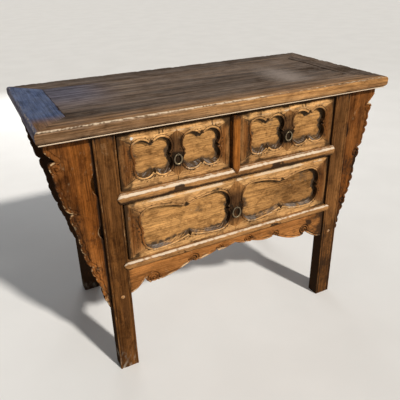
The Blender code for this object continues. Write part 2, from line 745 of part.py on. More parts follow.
def cartouche_quarter(half_width, half_height, layout):
    """A quarter of a cartouche from its head to its side: arch, cusp, lobe, cusp and arch."""
    radius, arch = layout.lobe_radius, layout.arch
    quarter = [i / CURL_STEPS * math.pi / 2 for i in range(CURL_STEPS + 1)]
    lobe_x, lobe_z = half_width - radius, half_height - radius
    head_z = half_height - layout.head_cusp
    side_x = half_width - layout.side_cusp
    head_flank = swept_flank(lobe_x - arch, layout.head_cusp, CURL_STEPS)
    side_flank = swept_flank(lobe_z - arch, layout.side_cusp, CURL_STEPS)
    points = [(arch * math.sin(a), head_z + arch * math.cos(a)) for a in quarter[::2]]
    points += [(lobe_x - run, half_height - fall) for run, fall in reversed(head_flank[:-1])]
    points += [(lobe_x + radius * math.sin(a), lobe_z + radius * math.cos(a)) for a in quarter]
    points += [(half_width - fall, lobe_z - run) for run, fall in side_flank]
    points += [(side_x + arch * math.sin(a), arch * math.cos(a)) for a in quarter[2::2]]
    return points


def cartouche(middle_x, middle_z, half_width, half_height, layout):
    """A whole cartouche outline round its middle."""
    quarter = cartouche_quarter(half_width, half_height, layout)
    right = quarter + [(x, -z) for x, z in reversed(quarter[:-1])]
    whole = right + [(-x, z) for x, z in reversed(right[1:-1])]
    return [(middle_x + x, middle_z + z) for x, z in whole]


def mullion_outline(drawer, grow):
    """The mullion's region: straight sides past the cusps, and points mitred into the borders."""
    left, right, bottom, top = front_extent(drawer)
    layout = drawer.layout
    middle = (left + right) / 2
    half = layout.mullion / 2 + layout.side_cusp + CUSP_MARGIN + grow
    head = top - MULLION_TIP_INSET + grow
    foot = bottom + MULLION_TIP_INSET - grow
    return [(middle, head), (middle + half, head - half), (middle + half, foot + half),
            (middle, foot), (middle - half, foot + half), (middle - half, head - half)]


def front_block(drawer):
    """The block of a carved front before its carving: its face slopes back round the outer edge."""
    left, right, bottom, top = front_extent(drawer)
    levels = ((FRAME_FACE_Y + FRAME_THICKNESS, 0.0), (FRAME_FACE_Y + FACE_SLOPE_DEPTH, 0.0),
              (FRAME_FACE_Y, FACE_SLOPE_RUN))
    return loft([[(left + inset, y, bottom + inset), (right - inset, y, bottom + inset),
                  (right - inset, y, top - inset), (left + inset, y, top - inset)]
                 for y, inset in levels])


def pull_slot(drawer, hinge):
    """The slot through the mullion and the ground for the pull's split pin."""
    half_width = EYE_WIRE + SLOT_PLAY
    half_height = PIN_OFFSET + EYE_WIRE + SLOT_PLAY
    return box((hinge.x - half_width, FRAME_FACE_Y - CUT_PAST, hinge.z - half_height),
               (hinge.x + half_width, GROUND_BACK_Y + CUT_PAST, hinge.z + half_height))


def build_drawer(drawer):
    """A drawer's carved front, its box and its ring pull, under one empty that slides."""
    left, right, bottom, top = front_extent(drawer)
    half_width, half_height, middle_z = cartouche_size(drawer)
    middle_x = (left + right) / 2
    slide = bpy.data.objects.new(drawer.name + "_slide", None)
    place(slide, spread(Vector((middle_x, FRAME_FACE_Y, bottom))), None)

    frame = add_piece(drawer.name + "_frame", front_block(drawer), FRONT_WOOD, slide)
    mullion = add_piece(drawer.name + "_mullion", front_block(drawer), DARK_WOOD, slide)
    ground = add_piece(drawer.name + "_ground",
                       box((left, GROUND_FACE_Y, bottom), (right, GROUND_BACK_Y, top)), FRONT_WOOD, slide)

    hinge = Vector((middle_x, FRAME_FACE_Y - EYE_STANDOFF, middle_z - drawer.layout.pull_drop))
    step = half_width + drawer.layout.mullion / 2
    reach = (FRAME_FACE_Y - CUT_PAST, FRAME_FACE_Y + FRAME_THICKNESS + CUT_PAST)
    outlines = [cartouche(middle_x + side * step, middle_z, half_width, half_height, drawer.layout)
                for side in (-1, 1)]
    holes = [prism(outline, *reach) for outline in outlines]
    cartouches = add_cutter(drawer.name + "_cartouches", holes)
    socket = add_cutter(drawer.name + "_mullion_socket", [prism(mullion_outline(drawer, SEAT_GAP), *reach)])
    trim = add_cutter(drawer.name + "_mullion_trim", [prism(mullion_outline(drawer, 0.0), *reach)])
    slot = add_cutter(drawer.name + "_pull_slot", [pull_slot(drawer, hinge)])
    for piece in (frame, mullion):
        apply_cutter(piece, cartouches)
    apply_cutter(frame, socket)
    apply_cutter(mullion, trim, "INTERSECT")
    apply_cutter(mullion, slot)
    apply_cutter(ground, slot)

    build_box(drawer, slide)
    build_pull(drawer, spread(hinge), slide)


def build_box(drawer, slide):
    """The drawer box: grooved sides, a bottom in the grooves and a back that stands on it."""
    left, right, bottom, top = front_extent(drawer)
    front = GROUND_BACK_Y + SEAT_GAP
    rear = LEG_REAR_Y - BOX_BACK_SPACE
    head = top - BOX_TOP_SPACE
    floor = bottom + BOTTOM_RAISE
    ceiling = floor + BOTTOM_THICKNESS
    for hand, outer, inward in (("left", left, 1), ("right", right, -1)):
        wall, groove = outer + inward * BOX_WALL, outer + inward * (BOX_WALL - BOTTOM_GROOVE)
        outline = [(outer, bottom), (wall, bottom), (wall, floor - SEAT_GAP), (groove, floor - SEAT_GAP),
                   (groove, ceiling + SEAT_GAP), (wall, ceiling + SEAT_GAP), (wall, head), (outer, head)]
        add_piece(f"{drawer.name}_side_{hand}", prism(outline, front, rear), INNER_WOOD, slide)
    inset = BOX_WALL - BOTTOM_GROOVE + SEAT_GAP
    add_piece(drawer.name + "_bottom", box((left + inset, front, floor), (right - inset, rear, ceiling)),
              INNER_WOOD, slide)
    inset = BOX_WALL + SEAT_GAP
    add_piece(drawer.name + "_back", box((left + inset, rear - BOX_WALL, ceiling + SEAT_GAP),
                                         (right - inset, rear, head)), INNER_WOOD, slide)


def pin_path():
    """The split pin's wire, from the middle of its eye: Y inwards and Z up, one end to the other."""
    loop = EYE_HOLE + EYE_WIRE
    neck = math.hypot(EYE_NECK, PIN_OFFSET)
    first = math.atan2(PIN_OFFSET, EYE_NECK) + math.acos(loop / neck)
    inside = EYE_STANDOFF + FRAME_THICKNESS + SEAT_GAP + GROUND_THICKNESS
    clinch = inside + SEAT_GAP + 2 * EYE_WIRE
    upper = [(clinch, PIN_OFFSET + PIN_BEND), (clinch, PIN_OFFSET + EYE_WIRE),
             (clinch - EYE_WIRE, PIN_OFFSET), (EYE_NECK, PIN_OFFSET)]
    steps = 2 * CURVE_STEPS
    turns = [first + (math.tau - 2 * first) * i / steps for i in range(steps + 1)]
    round_loop = [(loop * math.cos(a), loop * math.sin(a)) for a in turns]
    return upper + round_loop + [(y, -z) for y, z in reversed(upper)]


def build_pull(drawer, hinge, slide):
    """A split pin through the front and the ring that hangs in its eye."""
    curve = bpy.data.curves.new(drawer.name + "_pull_pin", "CURVE")
    curve.dimensions = "3D"
    curve.bevel_depth = EYE_WIRE
    curve.bevel_resolution = 2
    curve.use_fill_caps = True
    path = pin_path()
    spline = curve.splines.new("POLY")
    spline.points.add(len(path) - 1)
    for point, (y, z) in zip(spline.points, path):
        point.co = (0.0, y, z, 1.0)
    curve.materials.append(make_material(curve.name + "_finish", OLD_BRASS))
    place(bpy.data.objects.new(curve.name, curve), hinge, slide)

    radius = drawer.layout.ring_radius
    bm = bmesh.new()
    upright = Matrix.Rotation(math.pi / 2, 4, "Y")
    bmesh.ops.create_circle(bm, segments=RING_SIDES, radius=RING_WIRE, matrix=upright)
    bmesh.ops.spin(bm, geom=bm.verts[:] + bm.edges[:], cent=(0.0, 0.0, -radius), axis=(0.0, 1.0, 0.0),
                   angle=math.tau, steps=RING_STEPS, use_merge=True)
    ring = bpy.data.objects.new(drawer.name + "_pull_ring", mesh_of(drawer.name + "_pull_ring", bm, False))
    ring.data.materials.append(make_material(ring.name + "_finish", OLD_BRASS))
    ring.data.shade_smooth()
    place(ring, hinge, slide)


def main():
    """Build the cabinet from the top down, then its drawers."""
    clear_scene()
    build_top()
    build_legs()
    build_front()
    build_wings()
    build_carcase()
    build_runners()
    for drawer in drawers():
        build_drawer(drawer)
    for name in ("front_middle_rail", "front_bottom_rail", "drawer_divider"):
        smooth(bpy.data.objects[name])


main()
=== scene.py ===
"""Dress the altar cabinet: moulded top, beaded legs, carved wings and apron, recessed drawer fronts and ring pulls.

Every piece is worked out as surfaces in the cabinet's upright layout, in metres, and is then leaned outwards with the
legs, so that it lies where its solid lies.
"""

import json
import logging
import math
from collections.abc import Callable
from dataclasses import dataclass, field, replace
from enum import Enum

import bmesh
import bpy
import numpy as np
from mathutils import Matrix, Vector
from numpy.typing import NDArray

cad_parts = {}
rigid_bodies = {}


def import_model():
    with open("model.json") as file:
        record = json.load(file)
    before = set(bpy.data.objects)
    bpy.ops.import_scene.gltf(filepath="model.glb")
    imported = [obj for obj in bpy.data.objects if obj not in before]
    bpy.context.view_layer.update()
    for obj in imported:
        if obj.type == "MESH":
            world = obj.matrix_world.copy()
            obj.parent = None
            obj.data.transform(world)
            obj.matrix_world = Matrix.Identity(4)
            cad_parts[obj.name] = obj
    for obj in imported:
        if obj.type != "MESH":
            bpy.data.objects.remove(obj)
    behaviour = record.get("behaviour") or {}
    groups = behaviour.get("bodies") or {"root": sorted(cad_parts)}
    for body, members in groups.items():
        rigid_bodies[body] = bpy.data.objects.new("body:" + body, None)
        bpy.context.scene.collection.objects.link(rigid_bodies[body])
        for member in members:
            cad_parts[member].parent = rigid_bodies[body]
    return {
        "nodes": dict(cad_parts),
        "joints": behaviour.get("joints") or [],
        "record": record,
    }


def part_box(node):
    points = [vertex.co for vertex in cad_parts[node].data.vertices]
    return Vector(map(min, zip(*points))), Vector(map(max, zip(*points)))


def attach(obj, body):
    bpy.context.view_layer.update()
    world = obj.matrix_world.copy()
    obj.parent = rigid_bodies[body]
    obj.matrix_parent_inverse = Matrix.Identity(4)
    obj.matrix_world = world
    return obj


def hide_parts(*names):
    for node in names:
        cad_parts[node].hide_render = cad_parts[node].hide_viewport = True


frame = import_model()

Grid = NDArray[np.float64]
Index = NDArray[np.int64]
Colour = tuple[float, float, float]
Place = tuple[float, float, float]
Masks = dict[str, Grid | float]
Material = bpy.types.Material
Socket = bpy.types.NodeSocket

LOG = logging.getLogger("altar_cabinet")
CABINET = "cabinet"
DRESSED = "-dressed"
# Besides worn places, soiling, dusting and a golden tone, these masks carry painted highlights, painted shade, a
# painted sheen and painted sky-lit shade.
MASKS = ("wear", "dirt", "dust", "gold", "upright")
FACINGS = ((-1.0, "front"), (1.0, "back"))
HANDS = ((-1.0, "left"), (1.0, "right"))
RIGHT_ANGLE = math.pi / 2.0
WELD = 0.000004
SHARP_ANGLE = math.radians(38.0)
WAVE_COUNT = 7
WAVE_GAIN = 1.9
TOOL_MARKS = 0.0004


# ---- The layout that the pieces share ----


@dataclass(frozen=True)
class Layout:
    """Levels and planes that several pieces share, as the solids have them."""

    height: float = 0.860
    under_top: float = 0.822
    leg_outer_x: float = 0.441
    leg_inner_x: float = 0.379
    leg_face_y: float = 0.2465
    leg_rear_y: float = 0.2005
    foot_spread_x: float = 0.005
    foot_spread_y: float = 0.014
    upper_head: float = 0.810
    upper_sill: float = 0.644
    lower_head: float = 0.609
    lower_sill: float = 0.413
    rail_foot: float = 0.390
    divider_half: float = 0.0135
    divider_place: float = -0.0075
    nose_proud: float = 0.009
    seat_gap: float = 0.0003

    @property
    def nose_back_y(self) -> float:
        """Front plane of the rails' square bodies, where the noses start."""
        return -self.leg_face_y - self.seat_gap

    @property
    def rail_end(self) -> float:
        """Place beside the legs where the rails' square bodies and the apron end."""
        return self.leg_inner_x - self.seat_gap

    @property
    def leg_width(self) -> float:
        """Width of a leg's outer face."""
        return self.leg_outer_x - self.leg_inner_x

    def lean(self, points: Grid) -> Grid:
        """Lean points outwards with the legs.

        x and y grow with the fall below the top: by nothing just under the top, and at the floor by the spread
        as a share of the leg's own distance from the middle. Points of the top stay where they are.

        Args:
            points: Points of the upright layout, with x, y and z along the last axis.

        Returns:
            The leaned points.
        """
        fall = np.maximum(0.0, self.under_top - points[..., 2:]) / self.under_top
        share = np.array([self.foot_spread_x / self.leg_outer_x, self.foot_spread_y / self.leg_face_y, 0.0])
        return points * (1.0 + share * fall)


LAYOUT = Layout()


# In the formulas of the masks, the number before a term is the term's weight, and the numbers in ease and bell are the
# distances in metres, or the shares, between which or round which it fades.


def ease(low: float, high: float, value: Grid) -> Grid:
    """Rise smoothly from 0 at low to 1 at high, as the cubic 3t^2 - 2t^3 of the share t between them."""
    share = np.clip((value - low) / (high - low), 0.0, 1.0)
    return share * share * (3.0 - 2.0 * share)


def bell(value: Grid, middle: float, spread: float) -> Grid:
    """Swell to 1 at the middle and fall away on both sides, as exp(-t^2) of the distance in spreads."""
    return np.exp(-(((value - middle) / spread) ** 2))


def uneven(first: Grid, second: Grid, size: float, seed: int) -> Grid:
    """Give a smooth unevenness of about -1 to 1 over two coordinates.

    It is the mean of a few sines that run in different directions, with wavelengths spread around one size.

    Args:
        first: First coordinate of each point.
        second: Second coordinate of each point.
        size: Typical distance between two swells.
        seed: Number that fixes directions and phases.

    Returns:
        The unevenness at each point.
    """
    drawn = np.random.default_rng(seed)
    turn = drawn.uniform(0.0, math.tau, WAVE_COUNT)
    phase = drawn.uniform(0.0, math.tau, WAVE_COUNT)
    length = size * drawn.uniform(0.55, 1.7, WAVE_COUNT)
    first, second = np.broadcast_arrays(first, second)
    along = first[..., None] * np.cos(turn) + second[..., None] * np.sin(turn)
    return WAVE_GAIN * np.sin(math.tau * along / length + phase).mean(axis=-1)


def nearest(points: Grid, line: Grid) -> tuple[Grid, Index]:
    """Find how far points lie from the corners of a finely stepped line.

    Args:
        points: Flat points, any number of axes before the last.
        line: Corners of the line, one row each.

    Returns:
        The distance to the closest corner, and that corner's number.
    """
    flat = points.reshape(-1, 2)
    squared = (flat**2).sum(axis=1)[:, None] - 2.0 * flat @ line.T + (line**2).sum(axis=1)
    closest = squared.argmin(axis=1)
    distance = np.sqrt(np.maximum(squared.min(axis=1), 0.0))
    return distance.reshape(points.shape[:-1]), closest.reshape(points.shape[:-1])


def xyz(x: Grid | float, y: Grid | float, z: Grid | float) -> Grid:
    """Join coordinates into points, with x, y and z along the last axis."""
    return np.stack(np.broadcast_arrays(x, y, z), axis=-1)


def smoothed(values: Grid, rounds: int) -> Grid:
    """Smooth values along a closed loop: each round takes half of a value and a quarter of both its neighbours.

    Args:
        values: Values or points along the loop.
        rounds: How often they are smoothed.

    Returns:
        The smoothed values.
    """
    for _ in range(rounds):
        values = (np.roll(values, 1, axis=0) + 2.0 * values + np.roll(values, -1, axis=0)) / 4.0
    return values


def heading(loop: Grid) -> Grid:
    """Give the unit direction along a closed loop at each of its points."""
    ahead = np.roll(loop, -1, axis=0) - np.roll(loop, 1, axis=0)
    return ahead / np.linalg.norm(ahead, axis=1, keepdims=True)


def round_over(distance: Grid, run: float, fall: float) -> Grid:
    """Give how far a face falls away beside its edge, as a quarter ellipse over a run."""
    share = 1.0 - np.clip(distance / run, 0.0, 1.0)
    return fall * (1.0 - np.sqrt(1.0 - share**2))


def scroll_cut(out: Grid, down: Grid, radius: float, turns: float, fade: tuple[float, float]) -> Grid:
    """Give how far a carved scroll cuts in, from 0 to 1.

    The groove lies where the distance from the scroll's eye, counted in pitches, less the angle, counted in turns, is
    halfway between two whole numbers. It fades out near the scroll's radius.

    Args:
        out: Distances out from the eye.
        down: Distances below the eye.
        radius: The scroll's radius.
        turns: How many turns lie within the radius.
        fade: Where it has faded out and where the fading starts, as shares of the radius.

    Returns:
        The cut at each place.
    """
    away = np.hypot(out, down)
    groove = 0.5 - 0.5 * np.cos(math.tau * (away / (radius / turns) - np.arctan2(down, out) / math.tau))
    return groove * ease(radius * fade[0], radius * fade[1], away)


# ---- Meshes ----


@dataclass(frozen=True)
class Piece:
    """Where a finished mesh belongs: its name, its body, the solids it stands for and its finish."""

    name: str
    body: str
    nodes: tuple[str, ...]
    slot: str
    material: Material
    leans: bool = True


def dressed(node: str, slot: str, material: Material, body: str = CABINET, leans: bool = True) -> Piece:
    """Describe the piece that stands for a solid."""
    return Piece(node + DRESSED, body, (node,), slot, material, leans)


def link_object(name: str, data: bpy.types.ID) -> bpy.types.Object:
    """Put a mesh, a lamp or a camera into the scene.

    Args:
        name: The object's name.
        data: What it shows.

    Returns:
        The new object.
    """
    made = bpy.data.objects.new(name, data)
    bpy.context.scene.collection.objects.link(made)
    return made


class MeshMaker:
    """Collects grids of points, with masks for the finish, and makes one closed mesh of them."""

    def __init__(self) -> None:
        """Start without any points."""
        self.points: list[Grid] = []
        self.faces: list[list[int]] = []
        self.masks: dict[str, list[Grid]] = {name: [] for name in MASKS}
        self.count = 0

    def add_grid(
        self,
        points: Grid,
        masks: Masks | None = None,
        around: bool = False,
        back_to_start: bool = False,
        keep: NDArray[np.bool_] | None = None,
    ) -> Index:
        """Add a surface whose neighbouring points are joined by four-sided faces.

        Args:
            points: The surface's points, as rows, columns and x, y, z.
            masks: Mask values by name, one for each point or one for all.
            around: Whether the last column joins the first.
            back_to_start: Whether the last row joins the first.
            keep: Which faces are made, by row and column; all if left out.

        Returns:
            The numbers of the points, by row and column.
        """
        rows, columns = points.shape[:2]
        index = self.count + np.arange(rows * columns).reshape(rows, columns)
        right = np.roll(index, -1, axis=1)
        below, below_right = np.roll(index, -1, axis=0), np.roll(right, -1, axis=0)
        quads = np.stack([index, right, below_right, below], axis=-1)
        quads = quads[: rows if back_to_start else rows - 1, : columns if around else columns - 1]
        self.faces.extend((quads if keep is None else quads[keep]).reshape(-1, 4).tolist())
        self.points.append(points.reshape(-1, 3))
        for name in MASKS:
            value = np.broadcast_to(np.asarray((masks or {}).get(name, 0.0), dtype=float), (rows, columns))
            self.masks[name].append(value.reshape(-1))
        self.count += rows * columns
        return index

    def add_cap(self, ring: Index) -> None:
        """Close an end with one flat face over a ring of points."""
        self.faces.append(ring.reshape(-1).tolist())

    def add_tube(self, points: Grid, masks: Masks | None = None) -> None:
        """Add a surface that is closed around its columns and capped at its first and last rows.

        Args:
            points: The surface's points, as rows, columns and x, y, z.
            masks: Mask values by name, one for each point or one for all.
        """
        index = self.add_grid(points, masks, around=True)
        self.add_cap(index[0, ::-1])
        self.add_cap(index[-1])

    def build(self, piece: Piece) -> bpy.types.Object:
        """Make the mesh, weld its seams, turn its faces outwards, and put it on its body.

        Args:
            piece: Where the mesh belongs.

        Returns:
            The new object.
        """
        points = np.concatenate(self.points)
        mesh = bpy.data.meshes.new(piece.name)
        mesh.from_pydata(LAYOUT.lean(points) if piece.leans else points, [], self.faces)
        for name, values in self.masks.items():
            layer = mesh.attributes.new(name, "FLOAT", "POINT")
            layer.data.foreach_set("value", np.clip(np.concatenate(values), 0.0, 1.0).astype(np.float32))
        shell = bmesh.new()
        shell.from_mesh(mesh)
        bmesh.ops.remove_doubles(shell, verts=shell.verts, dist=WELD)
        bmesh.ops.dissolve_degenerate(shell, edges=shell.edges, dist=WELD)
        bmesh.ops.recalc_face_normals(shell, faces=shell.faces)
        shell.to_mesh(mesh)
        shell.free()
        mesh.shade_smooth()
        mesh.set_sharp_from_angle(angle=SHARP_ANGLE)
        mesh.materials.append(piece.material)
        made = link_object(piece.name, mesh)
        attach(made, piece.body)
        if piece.nodes:
            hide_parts(*piece.nodes)
        LOG.info("%s: %d faces on %s", piece.name, len(mesh.polygons), piece.body)
        return made


def tube(points: Grid, masks: Masks) -> MeshMaker:
    """Start a mesh with one closed tube.

    Args:
        points: The tube's points, as rows, columns and x, y, z.
        masks: Mask values by name.

    Returns:
        The mesh, to which more can be added.
    """
    maker = MeshMaker()
    maker.add_tube(points, masks)
    return maker


@dataclass(frozen=True)
class Dome:
    """A low round dome that stands proud of a face, such as the end of a peg."""

    x: float
    z: float
    radius: float
    proud: float = 0.0009
    sunk: float = 0.004
    rings: int = 9
    sides: int = 28
    wear: float = 0.0
    dirt_power: int = 8

    def make(self, plane: Callable[[Grid, Grid], Grid]) -> MeshMaker:
        """Raise the dome over a face: its rise is the cosine over its radius.

        Args:
            plane: Gives the y of the face at places x and z.

        Returns:
            The dome's mesh, which is closed behind the face.
        """
        ring = np.linspace(1.0, 0.0, self.rings)[:, None]
        angle = np.linspace(0.0, math.tau, self.sides, endpoint=False)
        x = self.x + self.radius * ring * np.cos(angle)
        z = self.z + self.radius * ring * np.sin(angle)
        rounded = xyz(x, plane(x, z) - self.proud * np.cos(ring * RIGHT_ANGLE), z)
        foot = rounded[:1] + [0.0, self.sunk, 0.0]
        dirt = np.r_[1.0, ring[:, 0] ** self.dirt_power][:, None]
        maker = MeshMaker()
        index = maker.add_grid(np.concatenate([foot, rounded]), {"wear": self.wear, "dirt": dirt}, around=True)
        maker.add_cap(index[0, ::-1])
        return maker


def wrap(face: Grid, rear: Grid) -> Grid:
    """Run each row along a face and back behind it, so that the rows make a tube."""
    return np.concatenate([face, rear[:, ::-1]], axis=1)


def shell(face: Grid, rear: Grid, masks: Masks, dirt_and_shade_behind: float = 0.0) -> MeshMaker:
    """Close a face with the surface behind it.

    Args:
        face: Points of the face, by row and column.
        rear: The points behind them, in the same order.
        masks: The face's mask values by name, one for each point.
        dirt_and_shade_behind: Soiling and painted shade on the rear, where the other masks are 0.

    Returns:
        The mesh.
    """
    behind = {name: np.full_like(value, dirt_and_shade_behind if name == "dirt" else 0.0) for name, value in masks.items()}
    return tube(wrap(face, rear), {name: wrap(value, behind[name]) for name, value in masks.items()})


def rod(path: Grid, radius: float, sides: int, cross: Grid) -> Grid:
    """Carry a circle along a flat path.

    Each point is the path's point plus the radius times the cosine of an angle along the path's own sideways
    direction and the sine along the direction that crosses the path's plane.

    Args:
        path: Points of the path.
        radius: Radius of the circle.
        sides: Number of points around.
        cross: Unit direction that crosses the path's plane.

    Returns:
        Points by row and column, for a tube.
    """
    ahead = np.gradient(path, axis=0)
    ahead /= np.linalg.norm(ahead, axis=1, keepdims=True)
    sideways = np.cross(ahead, cross)
    angle = np.linspace(0.0, math.tau, sides, endpoint=False)[None, :, None]
    return path[:, None] + radius * (np.cos(angle) * sideways[:, None] + np.sin(angle) * cross)


# ---- Node trees ----


class Graph:
    """A node tree that is written one node at a time."""

    def __init__(self, tree: bpy.types.NodeTree) -> None:
        """Keep the tree that the nodes go into."""
        self.tree = tree

    def node(self, kind: str, inputs: dict[str | int, object] | None = None, **settings: object) -> bpy.types.Node:
        """Add a node.

        Args:
            kind: The node's type.
            inputs: A value or a socket for each named or numbered input; colours are given without their alpha.
            settings: The node's own settings.

        Returns:
            The new node.
        """
        node = self.tree.nodes.new(kind)
        for name, value in settings.items():
            setattr(node, name, value)
        for key, value in (inputs or {}).items():
            if isinstance(value, Socket):
                self.tree.links.new(value, node.inputs[key])
            elif node.inputs[key].type == "RGBA":
                node.inputs[key].default_value = (*value, 1.0)
            else:
                node.inputs[key].default_value = value
        return node

    def mix(self, share: object, first: object, second: object, blend: str = "MIX") -> Socket:
        """Blend two colours."""
        inputs = {0: share, 6: first, 7: second}
        return self.node("ShaderNodeMix", inputs, data_type="RGBA", blend_type=blend).outputs[2]

    def math(self, operation: str, first: object, second: object = 0.0) -> Socket:
        """Work out one sum, product or other operation of two values."""
        return self.node("ShaderNodeMath", {0: first, 1: second}, operation=operation).outputs[0]

    def times(self, first: object, second: object) -> Socket:
        """Multiply two values."""
        return self.math("MULTIPLY", first, second)

    def plus(self, first: object, second: object) -> Socket:
        """Add two values."""
        return self.math("ADD", first, second)

    def less(self, first: object, second: object) -> Socket:
        """Take the second value from the first."""
        return self.math("SUBTRACT", first, second)

    def spread(
        self, value: object, low: float, high: float, to_low: float = 0.0, to_high: float = 1.0
    ) -> Socket:
        """Carry a value from one range over to another, and hold it within that."""
        inputs = {"Value": value, "From Min": low, "From Max": high, "To Min": to_low, "To Max": to_high}
        return self.node("ShaderNodeMapRange", inputs, interpolation_type="SMOOTHSTEP").outputs[0]

    def noise(
        self, vector: object, scale: tuple[float, float, float], detail: float, rough: float, bend: float = 0.0
    ) -> Socket:
        """Give a noise whose cells are as long along each axis as one over its scale.

        Args:
            vector: Where the noise is read.
            scale: Cells per metre along each axis.
            detail: How many finer layers lie on the first.
            rough: How strong the finer layers are.
            bend: How far the cells are drawn out of line.

        Returns:
            The noise, 0 to 1.
        """
        stretched = self.node("ShaderNodeVectorMath", {0: vector, 1: scale}, operation="MULTIPLY").outputs[0]
        inputs = {"Vector": stretched, "Scale": 1.0, "Detail": detail, "Roughness": rough, "Distortion": bend}
        return self.node("ShaderNodeTexNoise", inputs).outputs[0]

    def mask(self, name: str) -> Socket:
        """Read one of the mesh's masks."""
        return self.node("ShaderNodeAttribute", attribute_name=name).outputs["Fac"]


def blank_material(name: str) -> tuple[Material, Graph]:
    """Start a material that has no nodes yet.

    Args:
        name: The material's name.

    Returns:
        The material, and the graph to write its nodes with.
    """
    made = bpy.data.materials.new(name)
    made.use_nodes = True
    made.node_tree.nodes.clear()
    return made, Graph(made.node_tree)


class Kind(Enum):
    """What a socket of a shared effect carries."""

    VECTOR = "NodeSocketVector"
    COLOUR = "NodeSocketColor"
    NUMBER = "NodeSocketFloat"


class SharedEffect:
    """A shader node group that is built once and placed in many materials."""

    name = ""
    inputs: dict[str, Kind] = {}
    outputs: dict[str, Kind] = {}

    def fill(self, graph: Graph, given: dict[str, Socket]) -> dict[str, Socket]:
        """Write the group's nodes.

        Args:
            graph: The group's tree.
            given: Its inputs by name.

        Returns:
            The socket for each output by name.
        """
        raise NotImplementedError

    def tree(self) -> bpy.types.NodeTree:
        """Find the group, or make it the first time.

        Returns:
            The group's node tree.
        """
        found = bpy.data.node_groups.get(self.name)
        if found is not None:
            return found
        made = bpy.data.node_groups.new(self.name, "ShaderNodeTree")
        for name, kind in self.inputs.items():
            made.interface.new_socket(name, in_out="INPUT", socket_type=kind.value)
        for name, kind in self.outputs.items():
            made.interface.new_socket(name, in_out="OUTPUT", socket_type=kind.value)
        graph = Graph(made)
        given = graph.node("NodeGroupInput").outputs
        graph.node("NodeGroupOutput", self.fill(graph, {name: given[name] for name in self.inputs}))
        return made

    def place(self, graph: Graph, values: dict[str, object]) -> bpy.types.NodeOutputs:
        """Put the group into a material with its own values, and give its outputs."""
        return graph.node("ShaderNodeGroup", values, node_tree=self.tree()).outputs


class WoodFigure(SharedEffect):
    """Long streaks, fibres, pores and stains of a board whose grain runs along the vector's x."""

    name = "wood figure"
    inputs = {
        "Vector": Kind.VECTOR,
        **dict.fromkeys(("Light", "Dark"), Kind.COLOUR),
        **dict.fromkeys(("Contrast", "Stain", "Fineness"), Kind.NUMBER),
    }
    outputs = {"Colour": Kind.COLOUR, "Height": Kind.NUMBER}

    def fill(self, graph: Graph, given: dict[str, Socket]) -> dict[str, Socket]:
        """Lay streaks, fibres, pores and stains over each other.

        Args:
            graph: The group's tree.
            given: Its inputs by name.

        Returns:
            The socket for each output by name.
        """
        vector = given["Vector"]
        finer = graph.node("ShaderNodeCombineXYZ", {0: 1.0, 1: given["Fineness"], 2: given["Fineness"]}).outputs[0]
        drawn = graph.node("ShaderNodeVectorMath", {0: vector, 1: finer}, operation="MULTIPLY").outputs[0]
        streak = graph.noise(drawn, (1.6, 34.0, 34.0), 6.0, 0.62, 0.4)
        band = graph.noise(vector, (1.1, 9.0, 9.0), 3.0, 0.5, 0.2)
        fibre = graph.noise(vector, (11.0, 380.0, 380.0), 3.0, 0.6)
        pore = graph.noise(vector, (26.0, 800.0, 800.0), 1.0, 0.5)
        cloud = graph.noise(vector, (7.0, 13.0, 13.0), 5.0, 0.62, 0.6)
        tone = graph.plus(graph.times(streak, 0.6), graph.times(band, 0.4))
        steep = graph.times(graph.less(tone, 0.5), given["Contrast"])
        colour = graph.mix(graph.spread(steep, -0.5, 0.5), given["Dark"], given["Light"])
        colour = graph.mix(1.0, colour, graph.spread(fibre, 0.32, 0.68, 0.62, 1.30), "MULTIPLY")
        pores = graph.spread(pore, 0.60, 0.72)
        colour = graph.mix(graph.times(pores, 0.55), colour, (0.45, 0.38, 0.32), "MULTIPLY")
        stained = graph.times(graph.spread(cloud, 0.52, 0.68), given["Stain"])
        colour = graph.mix(stained, colour, (0.36, 0.30, 0.26), "MULTIPLY")
        relief = graph.less(graph.plus(fibre, streak), pores)
        return {"Colour": colour, "Height": relief}


